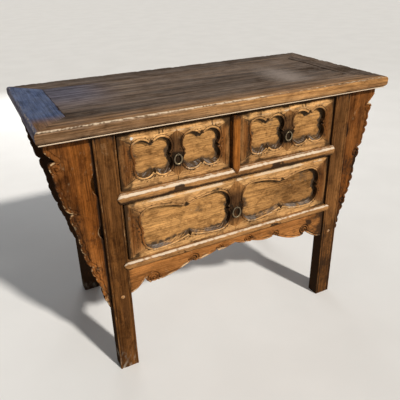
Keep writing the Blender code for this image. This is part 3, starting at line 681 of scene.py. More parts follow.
class WeatheringAndPaintedLight(SharedEffect):
    """Worn edges and painted highlights, soiling and painted shade, dusting and a painted sheen, broken up so that no
    edge of a mask is even.
    """

    name = "weathering"
    inputs = {
        "Vector": Kind.VECTOR,
        "Colour": Kind.COLOUR,
        **dict.fromkeys(("Wear", "Dirt", "Dust", "Scuffs", "Mottle"), Kind.NUMBER),
        **dict.fromkeys(("Rubbed", "Grime", "Haze"), Kind.COLOUR),
    }
    outputs = {"Colour": Kind.COLOUR, **dict.fromkeys(("Roughness", "Polish", "Height"), Kind.NUMBER)}

    def fill(self, graph: Graph, given: dict[str, Socket]) -> dict[str, Socket]:
        """Break each mask up with fine and coarse noise and lay its colour over the wood.

        Args:
            graph: The group's tree.
            given: Its inputs by name.

        Returns:
            The socket for each output by name.
        """
        fine = graph.noise(given["Vector"], (85.0, 120.0, 120.0), 6.0, 0.7)
        coarse = graph.noise(given["Vector"], (14.0, 22.0, 22.0), 4.0, 0.6)
        chips = graph.noise(given["Vector"], (60.0, 240.0, 240.0), 3.0, 0.6)
        specks = graph.noise(given["Vector"], (150.0, 190.0, 190.0), 5.0, 0.75)
        broken = graph.plus(graph.less(fine, 0.5), graph.less(coarse, 0.5))

        def patchy(mask: Socket, low: float, high: float, ragged_by: float) -> Socket:
            """Add the noise to a mask and cut it off at two levels; nothing comes where the mask is 0."""
            ragged = graph.plus(mask, graph.times(broken, ragged_by))
            return graph.times(graph.spread(ragged, low, high), graph.spread(mask, 0.0, 0.25))

        rubbed = graph.times(patchy(given["Wear"], 0.30, 0.75, 0.9), 0.85)
        scuffed = graph.times(graph.spread(chips, 0.64, 0.74), given["Scuffs"])
        grime_and_shade_share = graph.times(patchy(given["Dirt"], 0.25, 0.80, 0.9), 0.92)
        dust_and_sheen_share = graph.times(patchy(given["Dust"], 0.15, 0.75, 0.5), 0.88)
        blots = graph.noise(given["Vector"], (30.0, 46.0, 46.0), 4.0, 0.6, 0.6)
        mottled = graph.plus(graph.spread(specks, 0.48, 0.62), graph.spread(coarse, 0.50, 0.68))
        mottled = graph.plus(graph.times(mottled, 0.45), graph.spread(blots, 0.48, 0.66))
        mottled = graph.times(mottled, given["Mottle"])
        colour = graph.mix(mottled, given["Colour"], (0.24, 0.20, 0.17), "MULTIPLY")
        glints = graph.times(graph.spread(specks, 0.42, 0.30), given["Mottle"])
        colour = graph.mix(glints, colour, (1.45, 1.42, 1.38), "MULTIPLY")
        colour = graph.mix(graph.math("MAXIMUM", rubbed, scuffed), colour, given["Rubbed"])
        colour = graph.mix(grime_and_shade_share, colour, given["Grime"])
        colour = graph.mix(dust_and_sheen_share, colour, given["Haze"])
        dull = graph.math("MAXIMUM", grime_and_shade_share, dust_and_sheen_share)
        rough = graph.spread(coarse, 0.25, 0.75, 0.42, 0.66)
        rough = graph.plus(rough, graph.times(dull, 0.28))
        polish = graph.times(graph.less(1.0, dull), graph.spread(coarse, 0.7, 0.3, 0.3, 1.0))
        height = graph.less(fine, graph.times(rubbed, 0.35))
        return {"Colour": colour, "Roughness": rough, "Polish": polish, "Height": height}


class Patina(SharedEffect):
    """Brown skin that old metal gets, thinner where it is handled."""

    name = "patina"
    inputs = {"Vector": Kind.VECTOR, "Bright": Kind.COLOUR, "Brown": Kind.COLOUR, "Handled": Kind.NUMBER}
    outputs = {"Colour": Kind.COLOUR, **dict.fromkeys(("Metallic", "Roughness", "Height"), Kind.NUMBER)}

    def fill(self, graph: Graph, given: dict[str, Socket]) -> dict[str, Socket]:
        """Cut a blotchy skin out of two noises and thin it by how much the place is handled.

        Args:
            graph: The group's tree.
            given: Its inputs by name.

        Returns:
            The socket for each output by name.
        """
        blotch = graph.noise(given["Vector"], (130.0, 130.0, 130.0), 5.0, 0.65)
        pits = graph.noise(given["Vector"], (900.0, 900.0, 900.0), 3.0, 0.6)
        skin = graph.less(graph.spread(blotch, 0.32, 0.62), graph.times(given["Handled"], 0.6))
        skin = graph.spread(skin, 0.0, 0.8)
        colour = graph.mix(skin, given["Bright"], given["Brown"])
        colour = graph.mix(1.0, colour, graph.spread(pits, 0.3, 0.7, 0.8, 1.15), "MULTIPLY")
        return {
            "Colour": colour,
            "Metallic": graph.spread(skin, 0.0, 1.0, 0.9, 0.45),
            "Roughness": graph.spread(skin, 0.0, 1.0, 0.38, 0.72),
            "Height": graph.plus(pits, blotch),
        }


# ---- Finishes ----


class Grain(Enum):
    """The way a board's grain runs, as the turn that brings it to the figure's x."""

    ALONG_X = (0.0, 0.0, 0.0)
    ALONG_Y = (0.0, 0.0, RIGHT_ANGLE)
    ALONG_Z = (0.0, RIGHT_ANGLE, 0.0)


@dataclass(frozen=True)
class WoodFinish:
    """One kind of old wood: its two tones, its worn, soiled and dusted colours, which also paint highlights, shade and
    a sheen, and its gloss.
    """

    name: str
    light: Colour
    dark: Colour
    rubbed: Colour = (0.46, 0.32, 0.20)
    grime: Colour = (0.028, 0.017, 0.011)
    haze: Colour = (0.50, 0.43, 0.34)
    edge_light: Colour | None = None
    edge_dark: Colour | None = None
    contrast: float = 2.2
    fineness: float = 1.0
    stain: float = 0.5
    scuffs: float = 0.35
    mottle: float = 0.25
    bump: float = 0.35
    bump_depth: float = 0.0007
    coat: float = 0.12
    coat_rough: float = 0.34
    gloss: float = 0.0
    mixed_grain: bool = False

    def material(self, grain: Grain) -> Material:
        """Make the finish for one way of the grain, or find it if it is made.

        Args:
            grain: The way the grain runs.

        Returns:
            The material.
        """
        name = f"{self.name} {grain.name.lower().replace('_', ' ')}"
        found = bpy.data.materials.get(name)
        if found is not None:
            return found
        made, graph = blank_material(name)
        place = graph.node("ShaderNodeTexCoord").outputs["Object"]
        vector = graph.node("ShaderNodeMapping", {"Vector": place, "Rotation": grain.value}).outputs[0]
        if self.mixed_grain:
            upright = {"Vector": place, "Rotation": Grain.ALONG_Z.value}
            turned = graph.node("ShaderNodeMapping", upright).outputs[0]
            both = {0: graph.mask("upright"), 4: vector, 5: turned}
            vector = graph.node("ShaderNodeMix", both, data_type="VECTOR").outputs[1]
        light: object = self.light
        dark: object = self.dark
        if self.edge_light and self.edge_dark:
            gold = graph.mask("gold")
            light = graph.mix(gold, self.light, self.edge_light)
            dark = graph.mix(gold, self.dark, self.edge_dark)
        figure = WoodFigure().place(
            graph,
            {
                "Vector": vector,
                "Light": light,
                "Dark": dark,
                "Contrast": self.contrast,
                "Stain": self.stain,
                "Fineness": self.fineness,
            },
        )
        weathered_and_lit = WeatheringAndPaintedLight().place(
            graph,
            {
                "Vector": vector,
                "Colour": figure["Colour"],
                "Wear": graph.mask("wear"),
                "Dirt": graph.mask("dirt"),
                "Dust": graph.mask("dust"),
                "Scuffs": self.scuffs,
                "Mottle": self.mottle,
                "Rubbed": self.rubbed,
                "Grime": self.grime,
                "Haze": self.haze,
            },
        )
        height = graph.plus(figure["Height"], weathered_and_lit["Height"])
        bump = {"Strength": self.bump, "Distance": self.bump_depth, "Height": height}
        shader = graph.node(
            "ShaderNodeBsdfPrincipled",
            {
                "Base Color": weathered_and_lit["Colour"],
                "Roughness": weathered_and_lit["Roughness"],
                "Normal": graph.node("ShaderNodeBump", bump).outputs[0],
                "Coat Weight": graph.times(weathered_and_lit["Polish"], self.coat),
                "Coat Roughness": self.coat_rough,
                "Specular IOR Level": self.gloss,
            },
        )
        graph.node("ShaderNodeOutputMaterial", {"Surface": shader.outputs[0]})
        return made


@dataclass(frozen=True)
class BrassFinish:
    """Old yellow metal under a brown skin."""

    name: str
    bright: Colour
    brown: Colour
    bump: float = 0.4
    bump_depth: float = 0.0003

    def material(self) -> Material:
        """Make the finish, or find it if it is made.

        Returns:
            The material.
        """
        found = bpy.data.materials.get(self.name)
        if found is not None:
            return found
        made, graph = blank_material(self.name)
        place = graph.node("ShaderNodeTexCoord").outputs["Object"]
        skin = Patina().place(
            graph,
            {"Vector": place, "Bright": self.bright, "Brown": self.brown, "Handled": graph.mask("wear")},
        )
        bump = {"Strength": self.bump, "Distance": self.bump_depth, "Height": skin["Height"]}
        shader = graph.node(
            "ShaderNodeBsdfPrincipled",
            {
                "Base Color": skin["Colour"],
                "Metallic": skin["Metallic"],
                "Roughness": skin["Roughness"],
                "Normal": graph.node("ShaderNodeBump", bump).outputs[0],
            },
        )
        graph.node("ShaderNodeOutputMaterial", {"Surface": shader.outputs[0]})
        return made


TOP_WOOD = WoodFinish(
    "dark top",
    light=(0.200, 0.137, 0.095),
    dark=(0.040, 0.026, 0.017),
    rubbed=(0.74, 0.58, 0.41),
    # Colour of the painted sheen on the panel.
    haze=(0.32, 0.265, 0.23),
    edge_light=(0.68, 0.350, 0.125),
    edge_dark=(0.200, 0.090, 0.031),
    contrast=3.2,
    fineness=2.4,
    stain=0.40,
    scuffs=0.10,
    coat=0.18,
)
# Painted sky-lit shade: the panel's blue-grey edge colours are laid on towards its left back.
SKY_SHADED_PANEL_WOOD = replace(
    TOP_WOOD,
    name="panel",
    rubbed=(0.50, 0.36, 0.22),
    edge_light=(0.150, 0.137, 0.175),
    edge_dark=(0.045, 0.041, 0.053),
)
# Painted sky-lit shadow: the left end's own colours are blue-grey, and its orange edge colours come in towards the
# front and on the edge.
SKY_SHADED_END_WOOD = WoodFinish(
    "grey top",
    light=(0.088, 0.124, 0.238),
    dark=(0.036, 0.050, 0.096),
    rubbed=(0.34, 0.27, 0.20),
    edge_light=(0.28, 0.145, 0.060),
    edge_dark=(0.075, 0.036, 0.015),
    contrast=1.9,
    fineness=2.4,
    stain=0.4,
    scuffs=0.08,
    coat=0.25,
)
LEG_WOOD = WoodFinish(
    "leg wood",
    light=(0.180, 0.072, 0.019),
    dark=(0.050, 0.019, 0.005),
    rubbed=(0.36, 0.21, 0.10),
    edge_light=(0.300, 0.130, 0.040),
    edge_dark=(0.090, 0.037, 0.011),
    contrast=3.0,
    stain=0.55,
    scuffs=0.18,
    mottle=0.45,
)
SIDE_WOOD = replace(LEG_WOOD, name="side wood", coat=0.0)
CARVED_WOOD = WoodFinish(
    "carved wood",
    light=(0.225, 0.071, 0.012),
    dark=(0.060, 0.018, 0.004),
    rubbed=(0.54, 0.37, 0.20),
    edge_light=(0.380, 0.140, 0.034),
    edge_dark=(0.110, 0.039, 0.010),
    contrast=3.2,
    stain=0.6,
    scuffs=0.15,
    mottle=0.42,
)
APRON_WOOD = WoodFinish(
    "apron wood",
    light=(0.50, 0.205, 0.056),
    dark=(0.200, 0.075, 0.020),
    rubbed=(0.66, 0.46, 0.27),
    stain=0.4,
    scuffs=0.25,
    mottle=0.32,
)
RAIL_WOOD = WoodFinish(
    "rail wood",
    light=(0.49, 0.245, 0.086),
    dark=(0.175, 0.076, 0.026),
    # Pale colour of the noses' worn tops and painted highlights.
    rubbed=(0.76, 0.62, 0.46),
    stain=0.45,
    scuffs=0.2,
    mottle=0.30,
)
DIVIDER_WOOD = WoodFinish(
    "upright wood",
    light=(0.45, 0.155, 0.026),
    dark=(0.170, 0.055, 0.012),
    rubbed=(0.40, 0.25, 0.12),
    stain=0.4,
    scuffs=0.2,
    mottle=0.30,
)
FRONT_WOOD = WoodFinish(
    "drawer frame wood",
    light=(0.275, 0.106, 0.028),
    dark=(0.100, 0.036, 0.009),
    rubbed=(0.70, 0.53, 0.35),
    grime=(0.040, 0.023, 0.012),
    haze=(0.28, 0.25, 0.225),
    edge_light=(0.86, 0.500, 0.200),
    edge_dark=(0.44, 0.215, 0.075),
    stain=0.55,
    scuffs=0.22,
    mottle=0.50,
    mixed_grain=True,
)
GROUND_WOOD = WoodFinish(
    "drawer ground wood",
    light=(0.34, 0.165, 0.054),
    dark=(0.17, 0.078, 0.024),
    rubbed=(0.66, 0.49, 0.30),
    grime=(0.060, 0.042, 0.028),
    edge_light=(0.62, 0.325, 0.110),
    edge_dark=(0.35, 0.168, 0.054),
    contrast=1.8,
    stain=0.55,
    scuffs=0.08,
    mottle=0.50,
)
DARK_WOOD = WoodFinish(
    "dark mullion wood",
    light=(0.150, 0.070, 0.026),
    dark=(0.046, 0.021, 0.009),
    rubbed=(0.46, 0.32, 0.19),
    grime=(0.020, 0.013, 0.008),
    haze=(0.30, 0.27, 0.24),
    edge_light=(0.50, 0.235, 0.074),
    edge_dark=(0.220, 0.095, 0.028),
    stain=0.6,
    scuffs=0.3,
    mottle=0.50,
    mixed_grain=True,
)
# Nearly black: painted shadow of the top's overhang on the kept dark boards, such as the top rail under the top.
SHADE_PAINTED_RAIL_WOOD = WoodFinish(
    "sooty rail wood",
    light=(0.075, 0.036, 0.014),
    dark=(0.022, 0.011, 0.005),
    rubbed=(0.22, 0.13, 0.07),
    stain=0.6,
    scuffs=0.1,
)
INNER_WOOD = WoodFinish(
    "inner wood",
    light=(0.34, 0.195, 0.092),
    dark=(0.150, 0.078, 0.034),
    contrast=2.0,
    stain=0.35,
    scuffs=0.1,
    mottle=0.2,
)
PALE_WOOD = WoodFinish(
    "pale plug",
    light=(0.86, 0.82, 0.76),
    dark=(0.70, 0.64, 0.57),
    contrast=1.5,
    stain=0.2,
    scuffs=0.1,
    mottle=0.1,
)
OLD_BRASS = BrassFinish("old brass", bright=(0.26, 0.20, 0.115), brown=(0.120, 0.088, 0.052))


# ---- Top ----


@dataclass
class TableTop:
    """Mitred frame with moulded edges round a floating panel."""

    width: float = 1.165
    depth: float = 0.530
    end_width: float = 0.098
    rail_width: float = 0.100
    edge_round: float = 0.010
    edge_face: float = 0.012
    undercut: float = 0.009
    bead: float = 0.004
    bead_swell: float = 0.0028
    # Place and reach of the painted sheen, a pale reflection laid on the panel.
    sheen_place: tuple[float, float] = (0.292, -0.072)
    sheen_reach: tuple[float, float] = (0.092, 0.180)
    panel_thickness: float = 0.014
    panel_edge: float = 0.0012
    panel_sunk: float = 0.0002
    panel_dip: float = 0.0006
    board_dip: float = 0.0004
    arris_wear: float = 0.0011
    stations: int = 240
    under_steps: int = 5

    def profile(self, width: float) -> tuple[Grid, Grid, Grid]:
        """Give the section of a board of the frame, from its inner arris over the top and round the edge.

        The edge is a quarter round, a flat face that swells a little, a quarter ellipse that cuts back under it and a
        half-round bead.

        Args:
            width: Width of the board.

        Returns:
            How far in from the outer face each point lies, its level, and the way along the section from the arris.
        """
        turn = np.linspace(0.0, RIGHT_ANGLE, 11)
        half_turn = np.linspace(RIGHT_ANGLE, -RIGHT_ANGLE, 11)
        face_head = LAYOUT.height - self.edge_round
        face_foot = face_head - self.edge_face
        bead_head = LAYOUT.under_top + self.bead
        flat = np.linspace(width, self.edge_round, 24)[:-1]
        level = np.linspace(face_head, face_foot, 9)[1:]
        under = np.linspace(self.undercut, width, self.under_steps + 1)[1:]
        inset = [
            flat,
            self.edge_round * (1.0 - np.sin(turn)),
            np.zeros_like(level),
            self.undercut * (1.0 - np.cos(turn))[1:],
            self.undercut - self.bead_swell * np.cos(half_turn),
            under,
        ]
        z = [
            np.full_like(flat, LAYOUT.height),
            face_head + self.edge_round * np.cos(turn),
            level,
            face_foot - (face_foot - bead_head) * np.sin(turn)[1:],
            bead_head - self.bead * 0.5 * (1.0 - np.sin(half_turn)),
            np.full_like(under, LAYOUT.under_top),
        ]
        inset_all, z_all = np.concatenate(inset), np.concatenate(z)
        way = np.concatenate([[0.0], np.cumsum(np.hypot(np.diff(inset_all), np.diff(z_all)))])
        return inset_all, z_all, way - way[flat.size]

    def board(self, along_x: bool, side: float, seed: int) -> MeshMaker:
        """Carry the section along one side of the frame, with mitred ends.

        A point at a share s of the half length lies at s times the half length of its own line, which is shorter the
        further in the line lies, so the ends are mitres. The worn arris and the top dip a little and unevenly.

        Args:
            along_x: Whether the board runs along the front or back, and not along an end.
            side: Which side it lies on: -1 or 1.
            seed: Number that fixes its unevenness.

        Returns:
            The board's mesh.
        """
        width = self.rail_width if along_x else self.end_width
        length, reach = (self.width, self.depth) if along_x else (self.depth, self.width)
        slant = (self.end_width / self.rail_width) if along_x else (self.rail_width / self.end_width)
        inset, z, way = self.profile(width)
        share = np.linspace(-1.0, 1.0, self.stations)[:, None]
        along = share * (length / 2.0 - inset * slant - LAYOUT.seat_gap)
        line = np.broadcast_to(share * length / 2.0, along.shape)
        arris = bell(way, self.edge_round * 0.6, self.edge_round * 1.1)
        chipped = arris * np.maximum(0.0, uneven(line, way, 0.060, seed) + 0.6 * uneven(line, way, 0.016, seed))
        on_top = ease(0.004, -0.004, way)
        dip = self.board_dip * on_top * (1.0 + uneven(line, inset, 0.090, seed + 1))
        out = reach / 2.0 - inset - self.arris_wear * chipped
        level = z - dip - self.arris_wear * chipped
        across = side * out
        points = xyz(along, across, level) if along_x else xyz(across, along, level)
        bead_way = way[-1 - self.under_steps] - self.bead
        front = along_x and side < 0.0
        masks: Masks = {
            "gold": np.where(way < 0.004, (0.62 if front else 0.04) * ease(-0.019, 0.003, way), 0.0)
            + (0.34 if front else 0.0) * ease(-0.085, -0.020, way) * on_top
            # On the left end, the painted sky shade gives way to orange-brown towards the front.
            + (0.0 if along_x or side > 0.0 else 0.95 * ease(-0.125, -0.205, along) * on_top)
            + ease(0.002, 0.012, way)
            * (0.34 + 0.66 * ease(-0.50, 0.35, points[..., 0]))
            * (1.10 - 0.40 * ease(0.014, 0.034, way)),
            "wear": (0.62 if front else 0.44)
            * bell(way, self.edge_round * 0.40, 0.0054)
            * (1.0 - 0.30 * ease(-0.02, 0.18, line) + 0.38 * uneven(line, way, 0.007, seed + 2))
            # The bead is pale all along: worn, and a painted highlight.
            + bell(way, bead_way, 0.0030),
            # Darker on the undercut above the bead.
            "dirt": 0.55 * bell(way, bead_way - 0.009, 0.004)
            + ease(0.010, 0.0, width - inset) * (0.20 if along_x or side > 0.0 else 0.55) * ease(0.5, 1.0, on_top)
            + 0.35 * ease(0.4, 1.0, uneven(line, way, 0.110, seed + 3)) * ease(0.004, 0.010, way)
            + (0.0 if along_x or side < 0.0 else 0.40 * on_top),
        }
        return tube(points, masks)

    def panel(self) -> MeshMaker:
        """Lay the panel as a flat grid that dips unevenly and rounds off along its edges.

        Returns:
            The panel's mesh.
        """
        half_x = self.width / 2.0 - self.end_width - LAYOUT.seat_gap
        half_y = self.depth / 2.0 - self.rail_width - LAYOUT.seat_gap
        edge = np.array([0.0, 0.0005, 0.0012, 0.003])
        x = np.concatenate([-half_x + edge, np.linspace(-half_x + 0.008, half_x - 0.008, 180), half_x - edge[::-1]])
        y = np.concatenate([-half_y + edge, np.linspace(-half_y + 0.006, half_y - 0.006, 70), half_y - edge[::-1]])
        across, deep = np.meshgrid(x, y)
        margin = np.minimum(half_x - np.abs(across), half_y - np.abs(deep))
        fall = self.panel_edge * (1.0 - np.sqrt(np.clip(margin / self.panel_edge, 0.0, 1.0)))
        dip = self.panel_dip * (1.0 + uneven(across * 0.25, deep, 0.07, 41))
        (middle_x, middle_y), (reach_x, reach_y) = self.sheen_place, self.sheen_reach
        top = xyz(across, deep, LAYOUT.height - self.panel_sunk - fall - dip)
        below = xyz(across, deep, LAYOUT.height - self.panel_thickness)
        masks: Masks = {
            "dirt": (0.55 - 0.45 * ease(0.0, 0.40, across)) * ease(0.006, 0.0005, margin)
            + 0.25 * ease(0.3, 1.0, uneven(across * 0.3, deep, 0.15, 42))
            + 0.28 * ease(0.30, 0.46, across),
            "wear": 0.16 * ease(0.2, 1.0, uneven(across * 0.10, deep, 0.05, 43)),
            # Painted sheen: a soft pale patch of reflected light.
            "dust": 0.60 * bell(across, middle_x, reach_x) * bell(deep, middle_y, reach_y),
            # Painted sky-lit shade towards the left back of the panel.
            "gold": ease(-0.24, -0.42, across) * ease(-0.16, 0.08, deep),
        }
        return shell(top, below, masks)

    def build(self) -> None:
        """Make the four boards and the panel."""
        boards = {
            "top_front_rail": (True, -1.0, TOP_WOOD, Grain.ALONG_X),
            "top_back_rail": (True, 1.0, TOP_WOOD, Grain.ALONG_X),
            "top_left_end": (False, -1.0, SKY_SHADED_END_WOOD, Grain.ALONG_Y),
            "top_right_end": (False, 1.0, TOP_WOOD, Grain.ALONG_Y),
        }
        for seed, (node, (along_x, side, finish, grain)) in enumerate(boards.items()):
            maker = self.board(along_x, side, 10 * seed + 3)
            maker.build(dressed(node, "top_wood", finish.material(grain), leans=False))
        material = SKY_SHADED_PANEL_WOOD.material(Grain.ALONG_X)
        self.panel().build(dressed("top_panel", "top_wood", material, leans=False))


# ---- Legs and rails ----


@dataclass
class Legs:
    """Four leaning legs with a bead along both edges of the outer face."""

    bead_width: float = 0.0065
    bead_round: float = 0.0022
    quirk_depth: float = 0.0013
    crown: float = 0.0009
    crown_depth: float = 0.0006
    dent: float = 0.0005
    inner_gap: float = 0.0002
    stations: int = 170
    peg_radius: float = 0.0068
    peg_level: float = 0.292
    peg_inset: float = 0.033
    patch_low: float = 0.762
    patch_high: float = 0.801
    patch_half: float = 0.010
    patch_inset: float = 0.031
    patch_fade: float = 0.002

    def face(self, across: Grid) -> Grid:
        """Give how deep the outer face lies.

        Both edges carry a round bead, a quirk runs beside each bead, and between them the face is a flat crown.

        Args:
            across: Shares across the face, 0 to 1.

        Returns:
            The depth at each share.
        """
        edge = LAYOUT.leg_width * np.minimum(across, 1.0 - across)
        from_middle = (edge - self.bead_width / 2) / (self.bead_width / 2)
        bead = self.bead_round * (1.0 - np.sqrt(np.clip(1.0 - from_middle**2, 0.0, 1.0)))
        crown = self.crown * (2.0 * across - 1.0) ** 2 + self.crown_depth
        quirk = self.quirk_depth * bell(edge, self.bead_width, 0.0011)
        return np.where(edge < self.bead_width, np.minimum(bead, self.bead_round), crown) + quirk

    def leg(self, side: float, facing: float, seed: int) -> MeshMaker:
        """Carry the leg's section from the floor to the top.

        Args:
            side: -1 for a left leg, 1 for a right one.
            facing: -1 for a front leg, 1 for a back one.
            seed: Number that fixes its unevenness.

        Returns:
            The leg's mesh.
        """
        share = np.concatenate([np.linspace(0.0, 0.16, 19), np.linspace(0.18, 0.82, 21), np.linspace(0.84, 1.0, 19)])
        width = LAYOUT.leg_width
        deep = LAYOUT.leg_face_y - LAYOUT.leg_rear_y - self.bead_round
        back = np.linspace(0.0, 1.0, 9)[1:-1]
        rise = np.linspace(0.05, 0.95, 11)
        flank = np.ones_like(rise)
        hidden = np.zeros(2 * rise.size + back.size)
        x_in, x_out = LAYOUT.leg_inner_x + self.inner_gap, LAYOUT.leg_outer_x
        x = np.concatenate([x_in + width * share, x_out * flank, x_out - width * back, x_in * flank])
        y = np.concatenate(
            [
                LAYOUT.leg_face_y - self.face(share),
                LAYOUT.leg_face_y - self.bead_round - deep * rise,
                np.full_like(back, LAYOUT.leg_rear_y),
                LAYOUT.leg_rear_y + deep * rise,
            ]
        )
        z = np.linspace(0.0, LAYOUT.under_top - LAYOUT.seat_gap, self.stations)[:, None]
        around = np.concatenate([share, 1.2 * flank, 3.0 - back, -0.2 * flank])
        on_face = np.concatenate([np.ones_like(share), hidden])
        edge = width * np.minimum(share, 1.0 - share)
        bead = np.concatenate([bell(edge, self.bead_width * 0.45, 0.0024), hidden])
        quirk = np.concatenate([bell(edge, self.bead_width + 0.0008, 0.0020), hidden])
        bump = self.dent * on_face * np.abs(uneven(around * width, z, 0.05, seed))
        points = xyz(side * x, facing * (y - bump), z)
        streaks = uneven(around * 4.0, z * 0.35, 0.12, seed + 1)
        patch = (
            ease(self.patch_half + self.patch_fade, self.patch_half, np.abs(x - LAYOUT.leg_outer_x + self.patch_inset))
            * ease(self.patch_low - self.patch_fade, self.patch_low, z)
            * ease(self.patch_high + self.patch_fade, self.patch_high, z)
        )
        on_right, in_front = side > 0.0, facing < 0.0
        masks: Masks = {
            "wear": 0.42 * bead * (0.7 + 0.5 * uneven(around, z, 0.08, seed + 2))
            + (0.34 if in_front and not on_right else 0.0) * patch * on_face
            + 0.2 * ease(0.5, 1.0, streaks),
            "gold": 0.15 + 0.85 * ease(0.10, 0.55, z) if on_right else 0.40 * ease(0.50, 0.76, z),
            "dirt": 0.45 * quirk
            # Painted shade on the sides and back.
            + 0.85 * (1.0 - on_face)
            + 0.40 * ease(0.2, 1.0, -streaks)
            # Painted shadow of the top, just under it.
            + 0.55 * ease(0.035, 0.0, LAYOUT.under_top - z)
            # Darker towards the foot of the front right leg.
            + (0.46 if in_front and on_right else 0.0) * ease(0.45, 0.22, z),
            "dust": (0.15 if on_right else 0.40)
            * ease(0.16, 0.0, z)
            * (0.6 + 0.5 * uneven(around * 0.3, z, 0.05, seed + 3)),
        }
        return tube(points, masks)

    def peg(self, side: float) -> MeshMaker:
        """Set a round peg end into the face of a front leg.

        Args:
            side: -1 for the left leg, 1 for the right one.

        Returns:
            The peg end's mesh.
        """
        face_y = -LAYOUT.leg_face_y + self.crown_depth
        x = side * (LAYOUT.leg_outer_x - self.peg_inset)
        end = Dome(x, self.peg_level, self.peg_radius, wear=0.35, dirt_power=6)
        return end.make(lambda across, up: np.full_like(across, face_y))

    def build(self) -> None:
        """Make the four legs and the two peg ends."""
        material = LEG_WOOD.material(Grain.ALONG_Z)
        for facing, end in FACINGS:
            for side, hand in HANDS:
                maker = self.leg(side, facing, int(40 + 7 * side + 13 * facing))
                maker.build(dressed(f"leg_{end}_{hand}", "leg_wood", material))
        for side, hand in HANDS:
            self.peg(side).build(Piece(f"leg_peg_{hand}", CABINET, (), "leg_wood", RAIL_WOOD.material(Grain.ALONG_Y)))


